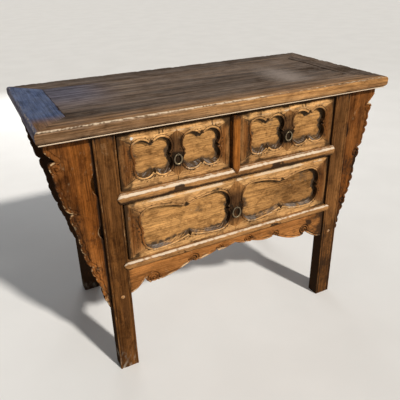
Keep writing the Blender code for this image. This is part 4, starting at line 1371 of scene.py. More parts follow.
@dataclass
class FrontRails:
    """Half-round middle and bottom rails that run to blunt points over the legs, and the upright."""

    nose_point: float = 0.0015
    nick_depth: float = 0.0005
    foot_proud: float = 0.0022
    middle_tip: float = 0.013
    bottom_tip: float = 0.015
    middle_shine: float = 0.58
    bottom_shine: float = 0.84
    around: int = 31
    stations: int = 260
    worn_spots: tuple[tuple[float, float], ...] = ((-0.204, 0.026), (0.150, 0.030))

    def nose(self, low: float, high: float, tip: float, shine: float, seed: int) -> tuple[Grid, Masks]:
        """Carry a half ellipse along the front, shrinking it to a point past each end.

        At a share t past the end, the ellipse keeps (1 - t^2)^0.7 of its height and depth, and a little more.

        Args:
            low: Level of the rail's foot.
            high: Level of its head.
            tip: How far each point runs on past the end.
            shine: How steeply the line of the painted highlight, which is also the most worn, faces up, from 0 to 1.
            seed: Number that fixes its unevenness.

        Returns:
            The nose's points, for a tube, and its masks.
        """
        end = LAYOUT.rail_end
        past = np.linspace(0.0, 1.0, 15)[1:]
        x = np.concatenate([-end - tip * past[::-1], np.linspace(-end, end, self.stations), end + tip * past])[:, None]
        beyond = np.clip((np.abs(x) - end) / tip, 0.0, 1.0)
        half, middle = (high - low) / 2.0, (high + low) / 2.0
        size = self.nose_point / half + (1.0 - self.nose_point / half) * (1.0 - beyond**2) ** 0.7
        angle = np.linspace(RIGHT_ANGLE, -RIGHT_ANGLE, self.around)
        faces_up = np.sin(angle)
        nick = self.nick_depth * np.maximum(0.0, uneven(x, angle * 0.02, 0.05, seed))
        y = LAYOUT.nose_back_y - (LAYOUT.nose_proud - nick) * size * np.cos(angle)
        points = xyz(x, y, middle + half * size * faces_up)
        spots = sum(bell(x, place, spread) for place, spread in self.worn_spots)
        rough = uneven(x, angle * 0.012, 0.06, seed + 1)
        flecks = uneven(x, angle * 0.010, 0.014, seed + 2)
        gleam = 0.84 - 0.13 * ease(0.6, 0.8, shine) - 0.10 * ease(-0.05, 0.10, x)
        masks: Masks = {
            # Painted highlight where the half round faces the light, over worn places, with a thin one along the top,
            # and the upper half a little paler.
            "wear": bell(faces_up, shine, 0.23) * (gleam + 0.16 * rough + 0.22 * flecks)
            + 0.50 * bell(faces_up, 0.968, 0.020) * ease(0.9, 0.6, shine)
            + 0.16 * ease(-0.3, 0.5, faces_up),
            # Painted shade on the lower part and underside of the nose and in the crease along its top; the spots are
            # real stains.
            "dirt": 0.70 * ease(-0.50, -1.0, faces_up)
            + 0.62 * ease(0.9, 0.6, shine) * ease(-0.08, -0.44, faces_up)
            + 0.40 * ease(0.985, 1.0, faces_up)
            + 1.30 * spots * (0.60 + 0.40 * rough + 0.4 * flecks) * ease(0.62, 0.20, faces_up),
        }
        return points, masks

    def body(self, low: float, high: float) -> Grid:
        """Give the square body behind a nose as a board.

        Args:
            low: Level of the rail's foot.
            high: Level of its head.

        Returns:
            The body's points, for a tube.
        """
        x, z = np.meshgrid(np.linspace(-LAYOUT.rail_end, LAYOUT.rail_end, 40), np.linspace(low, high, 4))
        return wrap(xyz(x, LAYOUT.nose_back_y, z), xyz(x, -LAYOUT.leg_rear_y, z))

    def upright(self) -> MeshMaker:
        """Carry a flattened half round up between the upper drawers, to a pointed foot over the middle rail.

        The lower edge at a share c across the half width lies between the tip, at 0, and the rail's head, at 1.

        Returns:
            The upright's mesh.
        """
        across = np.linspace(-1.0, 1.0, 27)
        tip = (LAYOUT.upper_sill + LAYOUT.lower_head) / 2.0
        foot = tip + (LAYOUT.upper_sill - tip) * np.abs(across)
        share = np.linspace(0.0, 1.0, 60)[:, None]
        z = foot + (LAYOUT.upper_head - LAYOUT.seat_gap - foot) * share
        x = np.broadcast_to(LAYOUT.divider_place + LAYOUT.divider_half * across, z.shape)
        proud = LAYOUT.nose_proud + self.foot_proud * ease(0.03, 0.0, z - tip)
        y = LAYOUT.nose_back_y - proud * np.sqrt(1.0 - np.abs(across) ** 3)
        back = xyz(x, -LAYOUT.leg_rear_y, np.maximum(z, LAYOUT.upper_sill))
        rough = uneven(x * 3.0, z, 0.05, 77)
        masks: Masks = {
            # Painted highlight down the middle of the half round.
            "wear": 0.45 * bell(across, 0.10, 0.22) * (0.6 + 0.5 * rough),
            "dirt": 0.26
            # Painted shade on both sides and just under the top.
            + 0.50 * ease(0.80, 1.0, np.abs(across))
            + 0.45 * ease(0.02, 0.0, LAYOUT.upper_head - z)
            + 0.40 * ease(0.05, 0.0, z - tip),
        }
        return shell(xyz(x, y, z), back, masks)

    def build(self) -> None:
        """Make the two nosed rails and the upright."""
        wood = RAIL_WOOD.material(Grain.ALONG_X)
        for node, low, high, tip, shine in (
            ("front_middle_rail", LAYOUT.lower_head, LAYOUT.upper_sill, self.middle_tip, self.middle_shine),
            ("front_bottom_rail", LAYOUT.rail_foot, LAYOUT.lower_sill, self.bottom_tip, self.bottom_shine),
        ):
            maker = tube(*self.nose(low, high, tip, shine, int(low * 1000)))
            maker.add_tube(self.body(low, high), {"dirt": 0.3})
            maker.build(dressed(node, "leg_wood", wood))
        self.upright().build(dressed("drawer_divider", "leg_wood", DIVIDER_WOOD.material(Grain.ALONG_Z)))


# ---- Carving ----


@dataclass(frozen=True)
class Leaf:
    """One leaf of a wing, by reach out from the leg and fall below the last leaf."""

    lobe_reach: float
    lobe_fall: float
    shoulder_reach: float
    shoulder_fall: float
    notch_reach: float
    notch_fall: float


@dataclass
class Wings:
    """Leafy wings outside the legs, under the overhang of the top."""

    thickness: float = 0.022
    setback: float = 0.012
    reach: float = 0.123
    corner: float = 0.026
    first_notch: float = 0.097
    first_curl: float = 0.030
    leaves: tuple[Leaf, ...] = (
        Leaf(0.1175, 0.013, 0.0945, 0.128, 0.0730, 0.018),
        Leaf(0.0850, 0.013, 0.0580, 0.153, 0.0420, 0.020),
        Leaf(0.0480, 0.014, 0.0130, 0.129, 0.0025, 0.028),
    )
    gaps: tuple[tuple[float, float, float], ...] = ((0.141, 0.078, 0.0155), (0.292, 0.050, 0.0110))
    side_bend: float = 0.75
    bumps: int = 5
    bump_height: float = 0.0042
    edge_fall: float = 0.0036
    edge_run: float = 0.0065
    gap_fall: float = 0.0025
    gap_run: float = 0.005
    rear_fall: float = 0.0020
    rear_run: float = 0.004
    line_inset: float = 0.0120
    line_half: float = 0.0017
    line_depth: float = 0.0034
    step_depth: float = 0.0030
    step_run: float = 0.010
    step_slope: float = 0.25
    flute_depth: float = 0.0048
    flute_run: float = 0.013
    scroll_radius: float = 0.0160
    scroll_turns: float = 1.5
    scroll_depth: float = 0.0044
    scroll_drop: float = 0.021
    scroll_inset: float = 0.004
    scroll_fade: tuple[float, float] = (1.12, 0.9)
    columns: int = 46

    def edge(self) -> tuple[Grid, Grid, list[tuple[float, float]]]:
        """Trace the leafy edge downwards.

        The corner is cut off to the first notch. Each leaf swells out over its lobe as a quarter ellipse, runs down its
        side with uneven round bumps to its shoulder, and runs in to the next notch halfway between a quarter ellipse
        and a straight line.

        Returns:
            Reach and fall of each point, how much of a flute starts there, and the notches.
        """
        turn = np.linspace(0.0, RIGHT_ANGLE, 15)[1:]
        share = turn / RIGHT_ANGLE
        side = np.linspace(0.0, 1.0, 90)[1:]
        runs: list[Grid] = []
        flutes: list[Grid] = []
        notches: list[tuple[float, float]] = []

        def trace(outs: Grid | float, falls: Grid, flute: Grid | float = 0.0) -> None:
            """Add one run of the edge, and how much of a flute starts along it."""
            runs.append(np.stack(np.broadcast_arrays(outs, falls), axis=1))
            flutes.append(np.broadcast_to(flute, falls.shape))

        trace(self.reach, np.linspace(LAYOUT.seat_gap, self.corner, 10))
        trace(self.reach + (self.first_notch - self.reach) * share**1.15, self.corner + self.first_curl * share)
        reach, fall = self.first_notch, self.corner + self.first_curl
        for leaf in self.leaves:
            notches.append((reach, fall))
            trace(reach + (leaf.lobe_reach - reach) * np.sin(turn), fall + leaf.lobe_fall * (1.0 - np.cos(turn)))
            fall += leaf.lobe_fall
            wave = np.abs(np.sin(math.pi * self.bumps * side))
            wave = wave * (0.6 + 0.4 * np.sin(9.0 * side + 40.0 * leaf.notch_reach))
            down = leaf.lobe_reach + (leaf.shoulder_reach - leaf.lobe_reach) * side**self.side_bend
            trace(down + self.bump_height * wave, fall + leaf.shoulder_fall * side, (1.0 - wave) ** 2)
            fall += leaf.shoulder_fall
            inward = leaf.notch_reach + (leaf.shoulder_reach - leaf.notch_reach) * (np.cos(turn) + 1.0 - share) / 2.0
            trace(inward, fall + leaf.notch_fall * (np.sin(turn) + share) / 2.0)
            reach, fall = leaf.notch_reach, fall + leaf.notch_fall
        return np.concatenate(runs), np.concatenate(flutes), notches

    def inner(self, fall: Grid) -> Grid:
        """Give the edge beside the leg: straight, with a lens-shaped gap as a half sine at each place.

        Args:
            fall: Falls below the top.

        Returns:
            The edge's reach out from the leg at each fall.
        """
        reach = np.full_like(fall, LAYOUT.seat_gap)
        for middle, length, depth in self.gaps:
            share = np.clip((fall - middle) / length + 0.5, 0.0, 1.0)
            reach = reach + depth * np.sin(math.pi * share)
        return reach

    def scrolls(self, reach: Grid, fall: Grid, notches: list[tuple[float, float]]) -> Grid:
        """Give the depth of the scroll that each leaf starts with.

        Args:
            reach: Reaches out from the leg.
            fall: Falls below the top.
            notches: Notches that the leaves start under, by reach and fall.

        Returns:
            How deep each point is cut.
        """
        depth = np.zeros_like(reach)
        for leaf, (_, notch_fall) in zip(self.leaves, notches):
            out = reach - leaf.lobe_reach + self.scroll_radius + self.scroll_inset
            down = fall - notch_fall - self.scroll_drop
            depth += scroll_cut(out, down, self.scroll_radius, self.scroll_turns, self.scroll_fade)
        return self.scroll_depth * depth

    def wing(self, side: float, facing: float, seed: int) -> MeshMaker:
        """Rule the wing from the leg to its leafy edge, and carve its face.

        The face falls away at the leafy edge, a fine line runs inside that edge, flutes run in from between the bumps,
        and each leaf starts under the end of the leaf above it.

        Args:
            side: -1 for a left wing, 1 for a right one.
            facing: -1 for a front wing, 1 for a back one.
            seed: Number that fixes its unevenness.

        Returns:
            The wing's mesh.
        """
        edge, flutes, notches = self.edge()
        inner = self.inner(edge[:, 1])
        share = 1.0 - (1.0 - np.linspace(0.0, 1.0, self.columns)) ** 1.45
        reach = inner[:, None] + np.maximum(edge[:, :1] - inner[:, None], 0.0006) * share
        fall = np.broadcast_to(edge[:, 1:], reach.shape)
        places = np.stack([reach, fall], axis=-1)
        from_edge, closest = nearest(places, edge)
        from_leg, _ = nearest(places, np.stack([inner, edge[:, 1]], axis=1))
        in_gap = ease(0.0006, 0.004, inner)[:, None]
        run_out, run_down = np.gradient(edge[:, 0]), np.gradient(edge[:, 1])
        level_run = ease(0.50, 0.80, np.abs(run_out) / np.hypot(run_out, run_down))[closest]
        depth = round_over(from_edge, self.edge_run, self.edge_fall)
        depth = depth + self.gap_fall * in_gap * (1.0 - ease(0.0, self.gap_run, from_leg))
        line = self.line_depth * bell(from_edge, self.line_inset, self.line_half)
        flute = self.flute_depth * flutes[closest] * np.exp(-from_edge / self.flute_run)
        step = np.zeros_like(depth)
        for notch_reach, notch_fall in notches:
            below = fall - notch_fall - self.step_slope * (notch_reach - reach)
            fade = ease(notch_reach - 0.042, notch_reach - 0.004, reach)
            fade = fade * ease(-0.0004, 0.0012, below)
            step += self.step_depth * fade * np.exp(-np.maximum(below, 0.0) / self.step_run)
        cut = line + flute + step + self.scrolls(reach, fall, notches)
        carved = depth + cut + TOOL_MARKS * np.abs(uneven(reach, fall, 0.03, seed))
        front = LAYOUT.leg_face_y - self.setback
        x = side * (LAYOUT.leg_outer_x + reach)
        z = LAYOUT.under_top - fall
        face = xyz(x, facing * (front - carved), z)
        rear_fall = self.rear_fall * (1.0 - ease(0.0, self.rear_run, from_edge))
        rear = xyz(x, facing * (front - self.thickness + rear_fall), z)
        rough = uneven(reach, fall * 0.4, 0.04, seed + 1)
        fine = uneven(reach, fall, 0.011, seed + 2)
        on_left = side < 0.0
        if on_left:
            gold = 0.24 * (1.0 - bell(fall, 0.225, 0.085))
            gold = gold + 0.85 * ease(0.040, 0.012, from_edge) * (0.75 + 0.4 * rough)
        else:
            gold = 0.10 + 0.80 * ease(0.27, 0.13, fall)
        masks: Masks = {
            "wear": 0.80
            * bell(from_edge, 0.0022, 0.0023)
            * (0.68 + 0.16 * rough + 0.35 * fine)
            * (0.52 + 0.48 * level_run)
            + (0.50 if on_left else 0.0) * in_gap * bell(from_leg, 0.0016, 0.0020)
            + 0.26 * ease(0.3, 1.0, rough)
            + 0.30 * ease(0.022, 0.006, from_edge) * np.maximum(0.0, fine),
            "dirt": 0.22 * ease(0.0006, 0.0030, cut)
            # Painted shadow cast by the leg beside it.
            + 0.95 * ease(0.010, 0.002, reach)
            # Painted shadow of the top's overhang.
            + 0.6 * ease(0.040, 0.0, fall)
            + 0.4 * ease(0.0007, 0.0, from_edge)
            + (0.26 if on_left else 0.50) * ease(0.12, 0.26, fall)
            # Painted shade inside the gaps of the right wings.
            + (0.0 if on_left else 0.9) * in_gap * ease(0.006, 0.002, from_leg),
            "gold": gold,
        }
        # The rear is darkened as painted shade; on the back wings it is the face that shows.
        return shell(face, rear, masks, dirt_and_shade_behind=0.85)

    def build(self) -> None:
        """Make the four wings."""
        material = CARVED_WOOD.material(Grain.ALONG_Z)
        for facing, end in FACINGS:
            for side, hand in HANDS:
                maker = self.wing(side, facing, int(60 + 5 * side + 11 * facing))
                maker.build(dressed(f"wing_{end}_{hand}", "carved_wood", material))


@dataclass(frozen=True)
class Scallop:
    """One scallop of the apron: its run, the drop of its tip, and the curl up to the next notch."""

    run: float
    tip_drop: float
    curl_run: float
    notch_drop: float


@dataclass(frozen=True)
class Volute:
    """A carved scroll on the apron: its way from the middle, its drop below the rail, its radius and its turns."""

    x: float
    drop: float
    radius: float
    turns: float


@dataclass
class Apron:
    """Scalloped apron under the bottom rail, with scrolls."""

    thickness: float = 0.018
    setback: float = 0.008
    centre: float = 0.028
    ends: tuple[float, float] = (0.100, 0.114)
    scallops: tuple[tuple[Scallop, ...], ...] = (
        (Scallop(0.060, 0.042, 0.010, 0.037), Scallop(0.080, 0.053, 0.010, 0.048), Scallop(0.147, 0.084, 0.019, 0.060)),
        (Scallop(0.058, 0.044, 0.010, 0.041), Scallop(0.060, 0.055, 0.032, 0.048), Scallop(0.115, 0.088, 0.026, 0.074)),
    )
    volutes: tuple[tuple[Volute, ...], ...] = (
        (Volute(0.060, 0.031, 0.015, 2.0), Volute(0.155, 0.044, 0.022, 2.6), Volute(0.298, 0.069, 0.027, 3.0)),
        (Volute(0.053, 0.031, 0.017, 2.4), Volute(0.169, 0.043, 0.016, 2.0), Volute(0.295, 0.064, 0.022, 2.5)),
    )
    scroll_depth: float = 0.0058
    scroll_fade: tuple[float, float] = (1.1, 0.85)
    edge_fall: float = 0.0026
    edge_run: float = 0.005
    line_inset: float = 0.0085
    line_half: float = 0.0016
    line_depth: float = 0.0016
    rows: int = 44

    def edge(self, hand: int) -> Grid:
        """Trace the lower edge from the middle to one end: distance from the middle and drop below the rail.

        Each scallop swells down to its tip as a sine over its run and curls up to its notch as a quarter ellipse, and
        the last one swells down to the leg.

        Args:
            hand: 0 for the left half, 1 for the right half, which was cut a little differently.

        Returns:
            The points, one row each.
        """
        turn = np.linspace(0.0, RIGHT_ANGLE, 40)[1:]
        curl = np.linspace(0.0, RIGHT_ANGLE, 16)[1:]
        x, drop = 0.0, self.centre
        runs = [np.array([[x, drop]])]
        for scallop in self.scallops[hand]:
            swell = drop + (scallop.tip_drop - drop) * np.sin(turn)
            runs.append(np.stack([x + scallop.run * turn / RIGHT_ANGLE, swell], axis=1))
            x, drop = x + scallop.run, scallop.tip_drop
            rise = scallop.notch_drop + (drop - scallop.notch_drop) * np.cos(curl)
            runs.append(np.stack([x + scallop.curl_run * np.sin(curl), rise], axis=1))
            x, drop = x + scallop.curl_run, scallop.notch_drop
        swell = drop + (self.ends[hand] - drop) * np.sin(turn)
        runs.append(np.stack([x + (LAYOUT.rail_end - x) * turn / RIGHT_ANGLE, swell], axis=1))
        return np.concatenate(runs)

    def scrolls(self, x: Grid, drop: Grid) -> Grid:
        """Give the depth of the carved scrolls.

        Args:
            x: Places along the apron.
            drop: Drops below the rail.

        Returns:
            How deep each point is cut.
        """
        depth = np.zeros_like(x)
        for side, volutes in zip((-1.0, 1.0), self.volutes):
            for volute in volutes:
                out, down = side * x - volute.x, drop - volute.drop
                depth += scroll_cut(out, down, volute.radius, volute.turns, self.scroll_fade)
        return self.scroll_depth * depth

    def build(self) -> None:
        """Rule the apron from the rail down to its scalloped edge, and carve its face."""
        edge = np.concatenate([(self.edge(0) * [-1.0, 1.0])[:0:-1], self.edge(1)])
        share = 1.0 - (1.0 - np.linspace(0.0, 1.0, self.rows)) ** 1.3
        head = LAYOUT.seat_gap
        drop = head + (edge[:, 1:] - head) * share
        x = np.broadcast_to(edge[:, :1], drop.shape)
        from_edge, _ = nearest(np.stack([x, drop], axis=-1), edge)
        depth = round_over(from_edge, self.edge_run, self.edge_fall)
        line = self.line_depth * bell(from_edge, self.line_inset, self.line_half)
        cut = self.scrolls(x, drop)
        carved = depth + line + cut + TOOL_MARKS * np.abs(uneven(x, drop, 0.03, 91))
        front = -LAYOUT.leg_face_y + self.setback
        z = LAYOUT.rail_foot - drop
        face, rear = xyz(x, front + carved, z), xyz(x, front + self.thickness, z)
        rough = uneven(x, drop, 0.05, 92)
        rightward = ease(-0.05, 0.10, x)
        in_scroll = ease(0.0, 0.25 * self.scroll_depth, cut)
        masks: Masks = {
            "wear": (0.8 - 0.25 * rightward) * bell(from_edge, 0.0040, 0.0030) * (0.6 + 0.5 * rough)
            + 0.25 * ease(0.3, 1.0, rough)
            + 0.30 * (1.0 - rightward) * ease(0.0030, 0.0, cut) * in_scroll,
            "dirt": 0.52 * ease(0.0020, 0.0056, line + cut)
            + 0.50 * ease(0.0003, 0.0013, line) * (0.75 + 0.4 * rough)
            + 0.16 * rightward
            + 0.34 * ease(0.16, 0.36, x)
            # Painted shadow just under the bottom rail.
            + 0.60 * ease(0.010, 0.0, drop)
            # Painted shade beside the legs.
            + 0.4 * ease(0.024, 0.0, LAYOUT.leg_inner_x - np.abs(x))
            + 0.3 * ease(0.4, 1.0, -rough),
        }
        maker = shell(face, rear, masks, dirt_and_shade_behind=0.3)
        maker.build(dressed("front_apron", "carved_wood", APRON_WOOD.material(Grain.ALONG_X)))


# ---- Drawers ----


@dataclass(frozen=True)
class FrontLayout:
    """How a drawer front is divided: its borders, its mullion, the shape of its recesses and its ring."""

    side_border: float
    top_border: float
    bottom_border: float
    mullion: float
    lobe_radius: float
    head_cusp: float
    side_cusp: float
    arch: float
    ring_radius: float
    sill_run: float
    ring_shade: float
    sill_flecks: float
    sill_light: float
    top_gleam: float
    sill_dust: float
    ground_columns: int
    spike_height: float = 1.3

    def flank(self, length: float, rise: float, count: int) -> Grid:
        """Trace an arc that starts level and falls ever more steeply.

        Args:
            length: How far it runs.
            rise: How far it has fallen at its end.
            count: Number of its points.

        Returns:
            Run and fall of each point.
        """
        radius = (length**2 + rise**2) / (2.0 * rise)
        sweep = math.asin(length / radius) * np.linspace(0.0, 1.0, count)
        return np.stack([radius * np.sin(sweep), radius * (1.0 - np.cos(sweep))], axis=1)

    def quarter(self, half_width: float, half_height: float) -> tuple[Grid, int]:
        """Trace a quarter of a recess from the middle of its head to the middle of its side.

        A small spike stands at each middle, whose height falls as (1 - t)^1.4 over its half width. An arc runs from its
        foot to the corner lobe, and the lobe is a quarter circle.

        Args:
            half_width: Half the recess's width.
            half_height: Half its height.

        Returns:
            The points, and the number of the lobe's middle point.
        """
        lobe_x, lobe_z = half_width - self.lobe_radius, half_height - self.lobe_radius
        share = np.linspace(0.0, 1.0, 9)
        spike = np.stack([self.arch * share, self.spike_height * self.arch * (1.0 - share) ** 1.4], axis=1)
        fine = math.pi / 4.0 + np.radians([-2.6, -1.3, 1.3, 2.6])
        lobe = np.sort(np.concatenate([np.linspace(0.0, RIGHT_ANGLE, 33), fine]))
        head = self.flank(lobe_x - self.arch, self.head_cusp, 22)[-2:0:-1]
        side = self.flank(lobe_z - self.arch, self.side_cusp, 16)[1:-1]
        head_z, side_x = half_height - self.head_cusp, half_width - self.side_cusp
        points = np.concatenate(
            [
                spike + [0.0, head_z],
                np.stack([lobe_x - head[:, 0], half_height - head[:, 1]], axis=1),
                np.stack([lobe_x + self.lobe_radius * np.sin(lobe), lobe_z + self.lobe_radius * np.cos(lobe)], axis=1),
                np.stack([half_width - side[:, 1], lobe_z - side[:, 0]], axis=1),
                spike[::-1, ::-1] + [side_x, 0.0],
            ]
        )
        return points, share.size + head.shape[0] + lobe.size // 2


NAIL_PLUG = Dome(x=-0.334, z=0.795, radius=0.0044, sunk=0.003, rings=8, sides=24)
UPPER_FRONT = FrontLayout(
    side_border=0.0365,
    top_border=0.024,
    bottom_border=0.029,
    mullion=0.037,
    lobe_radius=0.030,
    head_cusp=0.013,
    side_cusp=0.009,
    arch=0.0060,
    ring_radius=0.0128,
    sill_run=0.0095,
    ring_shade=0.85,
    sill_flecks=0.40,
    sill_light=0.35,
    top_gleam=0.40,
    sill_dust=0.26,
    ground_columns=130,
)
LOWER_FRONT = FrontLayout(
    side_border=0.041,
    top_border=0.035,
    bottom_border=0.0215,
    mullion=0.050,
    lobe_radius=0.045,
    head_cusp=0.020,
    side_cusp=0.009,
    arch=0.0070,
    ring_radius=0.0155,
    sill_run=0.0055,
    ring_shade=0.40,
    sill_flecks=0.14,
    sill_light=0.50,
    top_gleam=1.10,
    sill_dust=0.36,
    ground_columns=210,
)


@dataclass
class DrawerFront:
    """A drawer front: border frame, dark mullion, ground board, split pin and ring."""

    name: str
    layout: FrontLayout
    opening: tuple[float, float, float, float]
    seed: int
    left_squeeze: float
    left_sag: float = 0.0
    left_gap: float = 0.0
    dim_right: float = 0.0
    gap_shade: float = 0.20
    side_play: float = 0.001
    top_play: float = 0.001
    recess: float = 0.006
    frame_thickness: float = 0.014
    ground_thickness: float = 0.012
    ground_dip: float = 0.0004
    ground_rows: int = 72
    slope_run: float = 0.012
    slope_depth: float = 0.004
    tip_inset: float = 0.006
    rim_width: float = 0.0082
    rim_groove: float = 0.0015
    groove_run: float = 0.0007
    bead_half: float = 0.0030
    bead_proud: float = 0.0015
    rim_smoothing: int = 36
    sill_smoothing: int = 40
    gap_reach: float = 0.030
    notch_drop: float = 0.0070
    notch_reach: float = 0.0092
    left_bulge: float = 0.60
    left_slant: float = 0.75
    left_shade: float = 0.50
    edge_shade: float = 0.20
    ring_shade_drop: float = 0.016
    wall_rows: int = 7
    corner_steps: int = 12
    tone_smoothing: int = 110
    joint_depth: float = 0.0007
    ring_wire: float = 0.0020
    ring_swell: float = 0.0006
    ring_narrow: float = 0.92
    ring_long: float = 1.15
    eye_wire: float = 0.0011
    eye_hole: float = 0.0025
    eye_standoff: float = 0.0050
    eye_neck: float = 0.0060
    pin_offset: float = 0.0013
    pin_bend: float = 0.010

    @property
    def extent(self) -> tuple[float, float, float, float]:
        """Left, bottom, right and top of the front."""
        left, bottom, right, top = self.opening
        return left + self.side_play, bottom + LAYOUT.seat_gap, right - self.side_play, top - self.top_play

    @property
    def middle(self) -> float:
        """Place of the front's middle."""
        left, _, right, _ = self.extent
        return (left + right) / 2.0

    @property
    def face_y(self) -> float:
        """Plane of the frame's face."""
        return -LAYOUT.leg_face_y + self.recess

    @property
    def ground_y(self) -> float:
        """Plane of the ground board's face."""
        return self.face_y + self.frame_thickness + LAYOUT.seat_gap

    def halves(self) -> tuple[float, float, float, float]:
        """Measure a recess.

        Returns:
            Its half width, its half height, its level, and how far its middle lies from the front's middle.
        """
        left, bottom, right, top = self.extent
        lay = self.layout
        half_width = ((right - left) - 2.0 * lay.side_border - lay.mullion) / 4.0
        half_height = ((top - bottom) - lay.top_border - lay.bottom_border) / 2.0
        return half_width, half_height, bottom + lay.bottom_border + half_height, half_width + lay.mullion / 2.0

    def outline(self) -> tuple[Grid, dict[str, int]]:
        """Trace the right recess all the way round, from the middle of its head, clockwise.

        Returns:
            The points, and the numbers of the points where lines of the frame meet them.
        """
        half_width, half_height, level, away = self.halves()
        quarter, lobe = self.layout.quarter(half_width, half_height)
        turned = quarter[::-1]
        loop = np.concatenate(
            [quarter[:-1], (turned * [1.0, -1.0])[:-1], (quarter * [-1.0, -1.0])[:-1], (turned * [-1.0, 1.0])[:-1]]
        )
        step = quarter.shape[0] - 1
        knots = {
            "head": 0,
            "top_right": lobe,
            "right": step,
            "low_right": 2 * step - lobe,
            "foot": 2 * step,
            "low_corner": 2 * step + lobe - self.corner_steps,
            "low_left": 2 * step + lobe,
            "left": 3 * step,
            "top_left": 4 * step - lobe,
            "top_corner": 4 * step - lobe + self.corner_steps,
        }
        return loop + [self.middle + away, level], knots

    def border(self, loop: Grid, knots: dict[str, int]) -> tuple[Grid, Grid]:
        """Find where the line from each point of the recess's edge ends on the border of its half of the front.

        Between two marked points of the edge, the ends move evenly along the border from one marked place to the next.

        Args:
            loop: Points of the recess's edge.
            knots: Numbers of the marked points.

        Returns:
            The points on the border, and the way along the recess's edge.
        """
        _, bottom, right, top = self.extent
        middle = self.middle
        _, _, level, away = self.halves()
        ends = np.array(
            [
                (middle + away, top),
                (right, top),
                (right, level),
                (right, bottom),
                (middle + away, bottom),
                (middle, bottom),
                (middle, bottom + self.tip_inset),
                (middle, level),
                (middle, top - self.tip_inset),
                (middle, top),
                (middle + away, top),
            ]
        )
        closed = np.concatenate([loop, loop[:1]])
        way = np.concatenate([[0.0], np.cumsum(np.linalg.norm(np.diff(closed, axis=0), axis=1))])
        marks = np.append(way[list(knots.values())], way[-1])
        along = way[:-1]
        points = np.stack([np.interp(along, marks, ends[:, 0]), np.interp(along, marks, ends[:, 1])], axis=1)
        return points, along

    def face_depth(self, x: Grid, z: Grid) -> Grid:
        """Give the face's plane: level down to the bottom, and sloping straight back along the other edges.

        Args:
            x: Places along the front.
            z: Levels.

        Returns:
            The face's y at each place.
        """
        left, _, right, top = self.extent
        edge = np.minimum(np.minimum(x - left, right - x), top - z)
        return self.face_y + self.slope_depth * np.clip(1.0 - edge / self.slope_run, 0.0, 1.0)

    def squeeze_by(self, out: Grid) -> Grid:
        """Say how far the left recess is drawn in at a distance out from the middle of the front."""
        return self.left_squeeze * (0.35 + 0.65 * ease(0.03, 0.10, out))

    def from_notch(self, head: Grid, x: Grid, z: Grid) -> Grid:
        """Give the way to the painted shadow under the middle of a recess's head, as the sum along both axes."""
        return np.abs(x - head[0]) + np.abs(z - head[1] + self.notch_drop)

    def left_recess(self, loop: Grid) -> Grid:
        """Draw the edge of the left recess, which was cut less evenly, as it would lie on the right half.

        Its outer side has no spike and bulges less, it is drawn in towards its foot, and its outer foot sags.

        Args:
            loop: Points of the right recess's edge.

        Returns:
            The points of the left recess's edge.
        """
        own = loop.copy()
        out = own[:, 0] - self.middle
        _, half_height, level, _ = self.halves()
        flank = out.max() - self.layout.side_cusp
        on_flank = (np.abs(own[:, 1] - level) < 3.0 * self.layout.arch) & (out > flank - 0.02)
        own[:, 0] += np.where(on_flank, np.maximum(0.0, flank - out), 0.0)
        own[:, 0] -= (1.0 - self.left_bulge) * np.maximum(0.0, out - flank)
        slant = 1.0 - self.left_slant * ease(level - half_height, level + half_height, own[:, 1])
        own[:, 0] -= self.squeeze_by(out) * slant
        own[:, 1] -= self.left_sag * ease(0.10, 0.19, out) * ease(level, level - half_height, own[:, 1])
        return own

    def half_front(
        self, columns: Index, loop: Grid, knots: dict[str, int], seed: int, on_left: bool
    ) -> tuple[Grid, Masks, Grid]:
        """Carry the section of the border from the outer edge to the recess and down its wall.

        The rows run from the back of the outer edge up its side, over the slope, straight across to a groove and a
        half-round bead along the sight edge, and down the wall to the back. The groove follows the sight edge with its
        cusps smoothed away. Where the wall faces up it is a hollow sill: at a share t of its depth it has risen by
        t^1.5 of the sill's run.

        Args:
            columns: Which points of the recess's edge to use, in order.
            loop: Points of the recess's edge.
            knots: Numbers of the marked points.
            seed: Number that fixes the wear.
            on_left: Whether it becomes the left half, with painted shade in the gap and a darker band beside the slope.

        Returns:
            Points by row and column, the masks, and which columns end on a real outer edge.
        """
        _, bottom, right, top = self.extent
        lay = self.layout
        level = self.halves()[2]
        outer, along = self.border(loop, knots)
        total = along[-1] + np.linalg.norm(loop[0] - loop[-1])
        ahead = heading(loop)
        outward = np.stack([-ahead[:, 1], ahead[:, 0]], axis=1)
        brink = smoothed(loop + self.rim_width * outward, self.rim_smoothing)
        run = self.slope_run
        inset = np.stack(
            [np.minimum(outer[:, 0], right - run), np.clip(outer[:, 1], bottom + run, top - run)], axis=1
        )
        share = (1.0 - (1.0 - np.linspace(0.0, 1.0, 14)) ** 1.25)[1:, None, None]
        flat = inset + (brink - inset) * share
        turn = np.linspace(0.0, math.pi, 11)
        away = np.append(2.0 * self.bead_half + self.groove_run, self.bead_half * (1.0 + np.cos(turn)))
        rise = np.append(-self.rim_groove, self.bead_proud * np.sin(turn))
        rim = loop + (away / self.rim_width)[:, None, None] * (brink - loop)
        sill = smoothed(ease(0.25, 0.95, -outward[:, 1]), self.sill_smoothing)
        down = np.linspace(0.0, 1.0, self.wall_rows + 1)[1:, None]
        wall_rise = lay.sill_run * sill * down**1.5
        wall_plan = np.stack([np.broadcast_to(loop[:, 0], wall_rise.shape), loop[:, 1] + wall_rise], axis=-1)
        plan = np.concatenate([outer[None], outer[None], inset[None], flat, rim, wall_plan])
        x, z = plan[..., 0], plan[..., 1]
        back = self.face_y + self.frame_thickness
        brow = self.face_depth(loop[:, 0], loop[:, 1])
        count, rows = loop.shape[0], plan.shape[0]
        flats, rims = flat.shape[0], rim.shape[0]
        depth = self.face_depth(x, z)
        depth[0] = back
        depth[flats + 3 : flats + 3 + rims] -= rise[:, None]
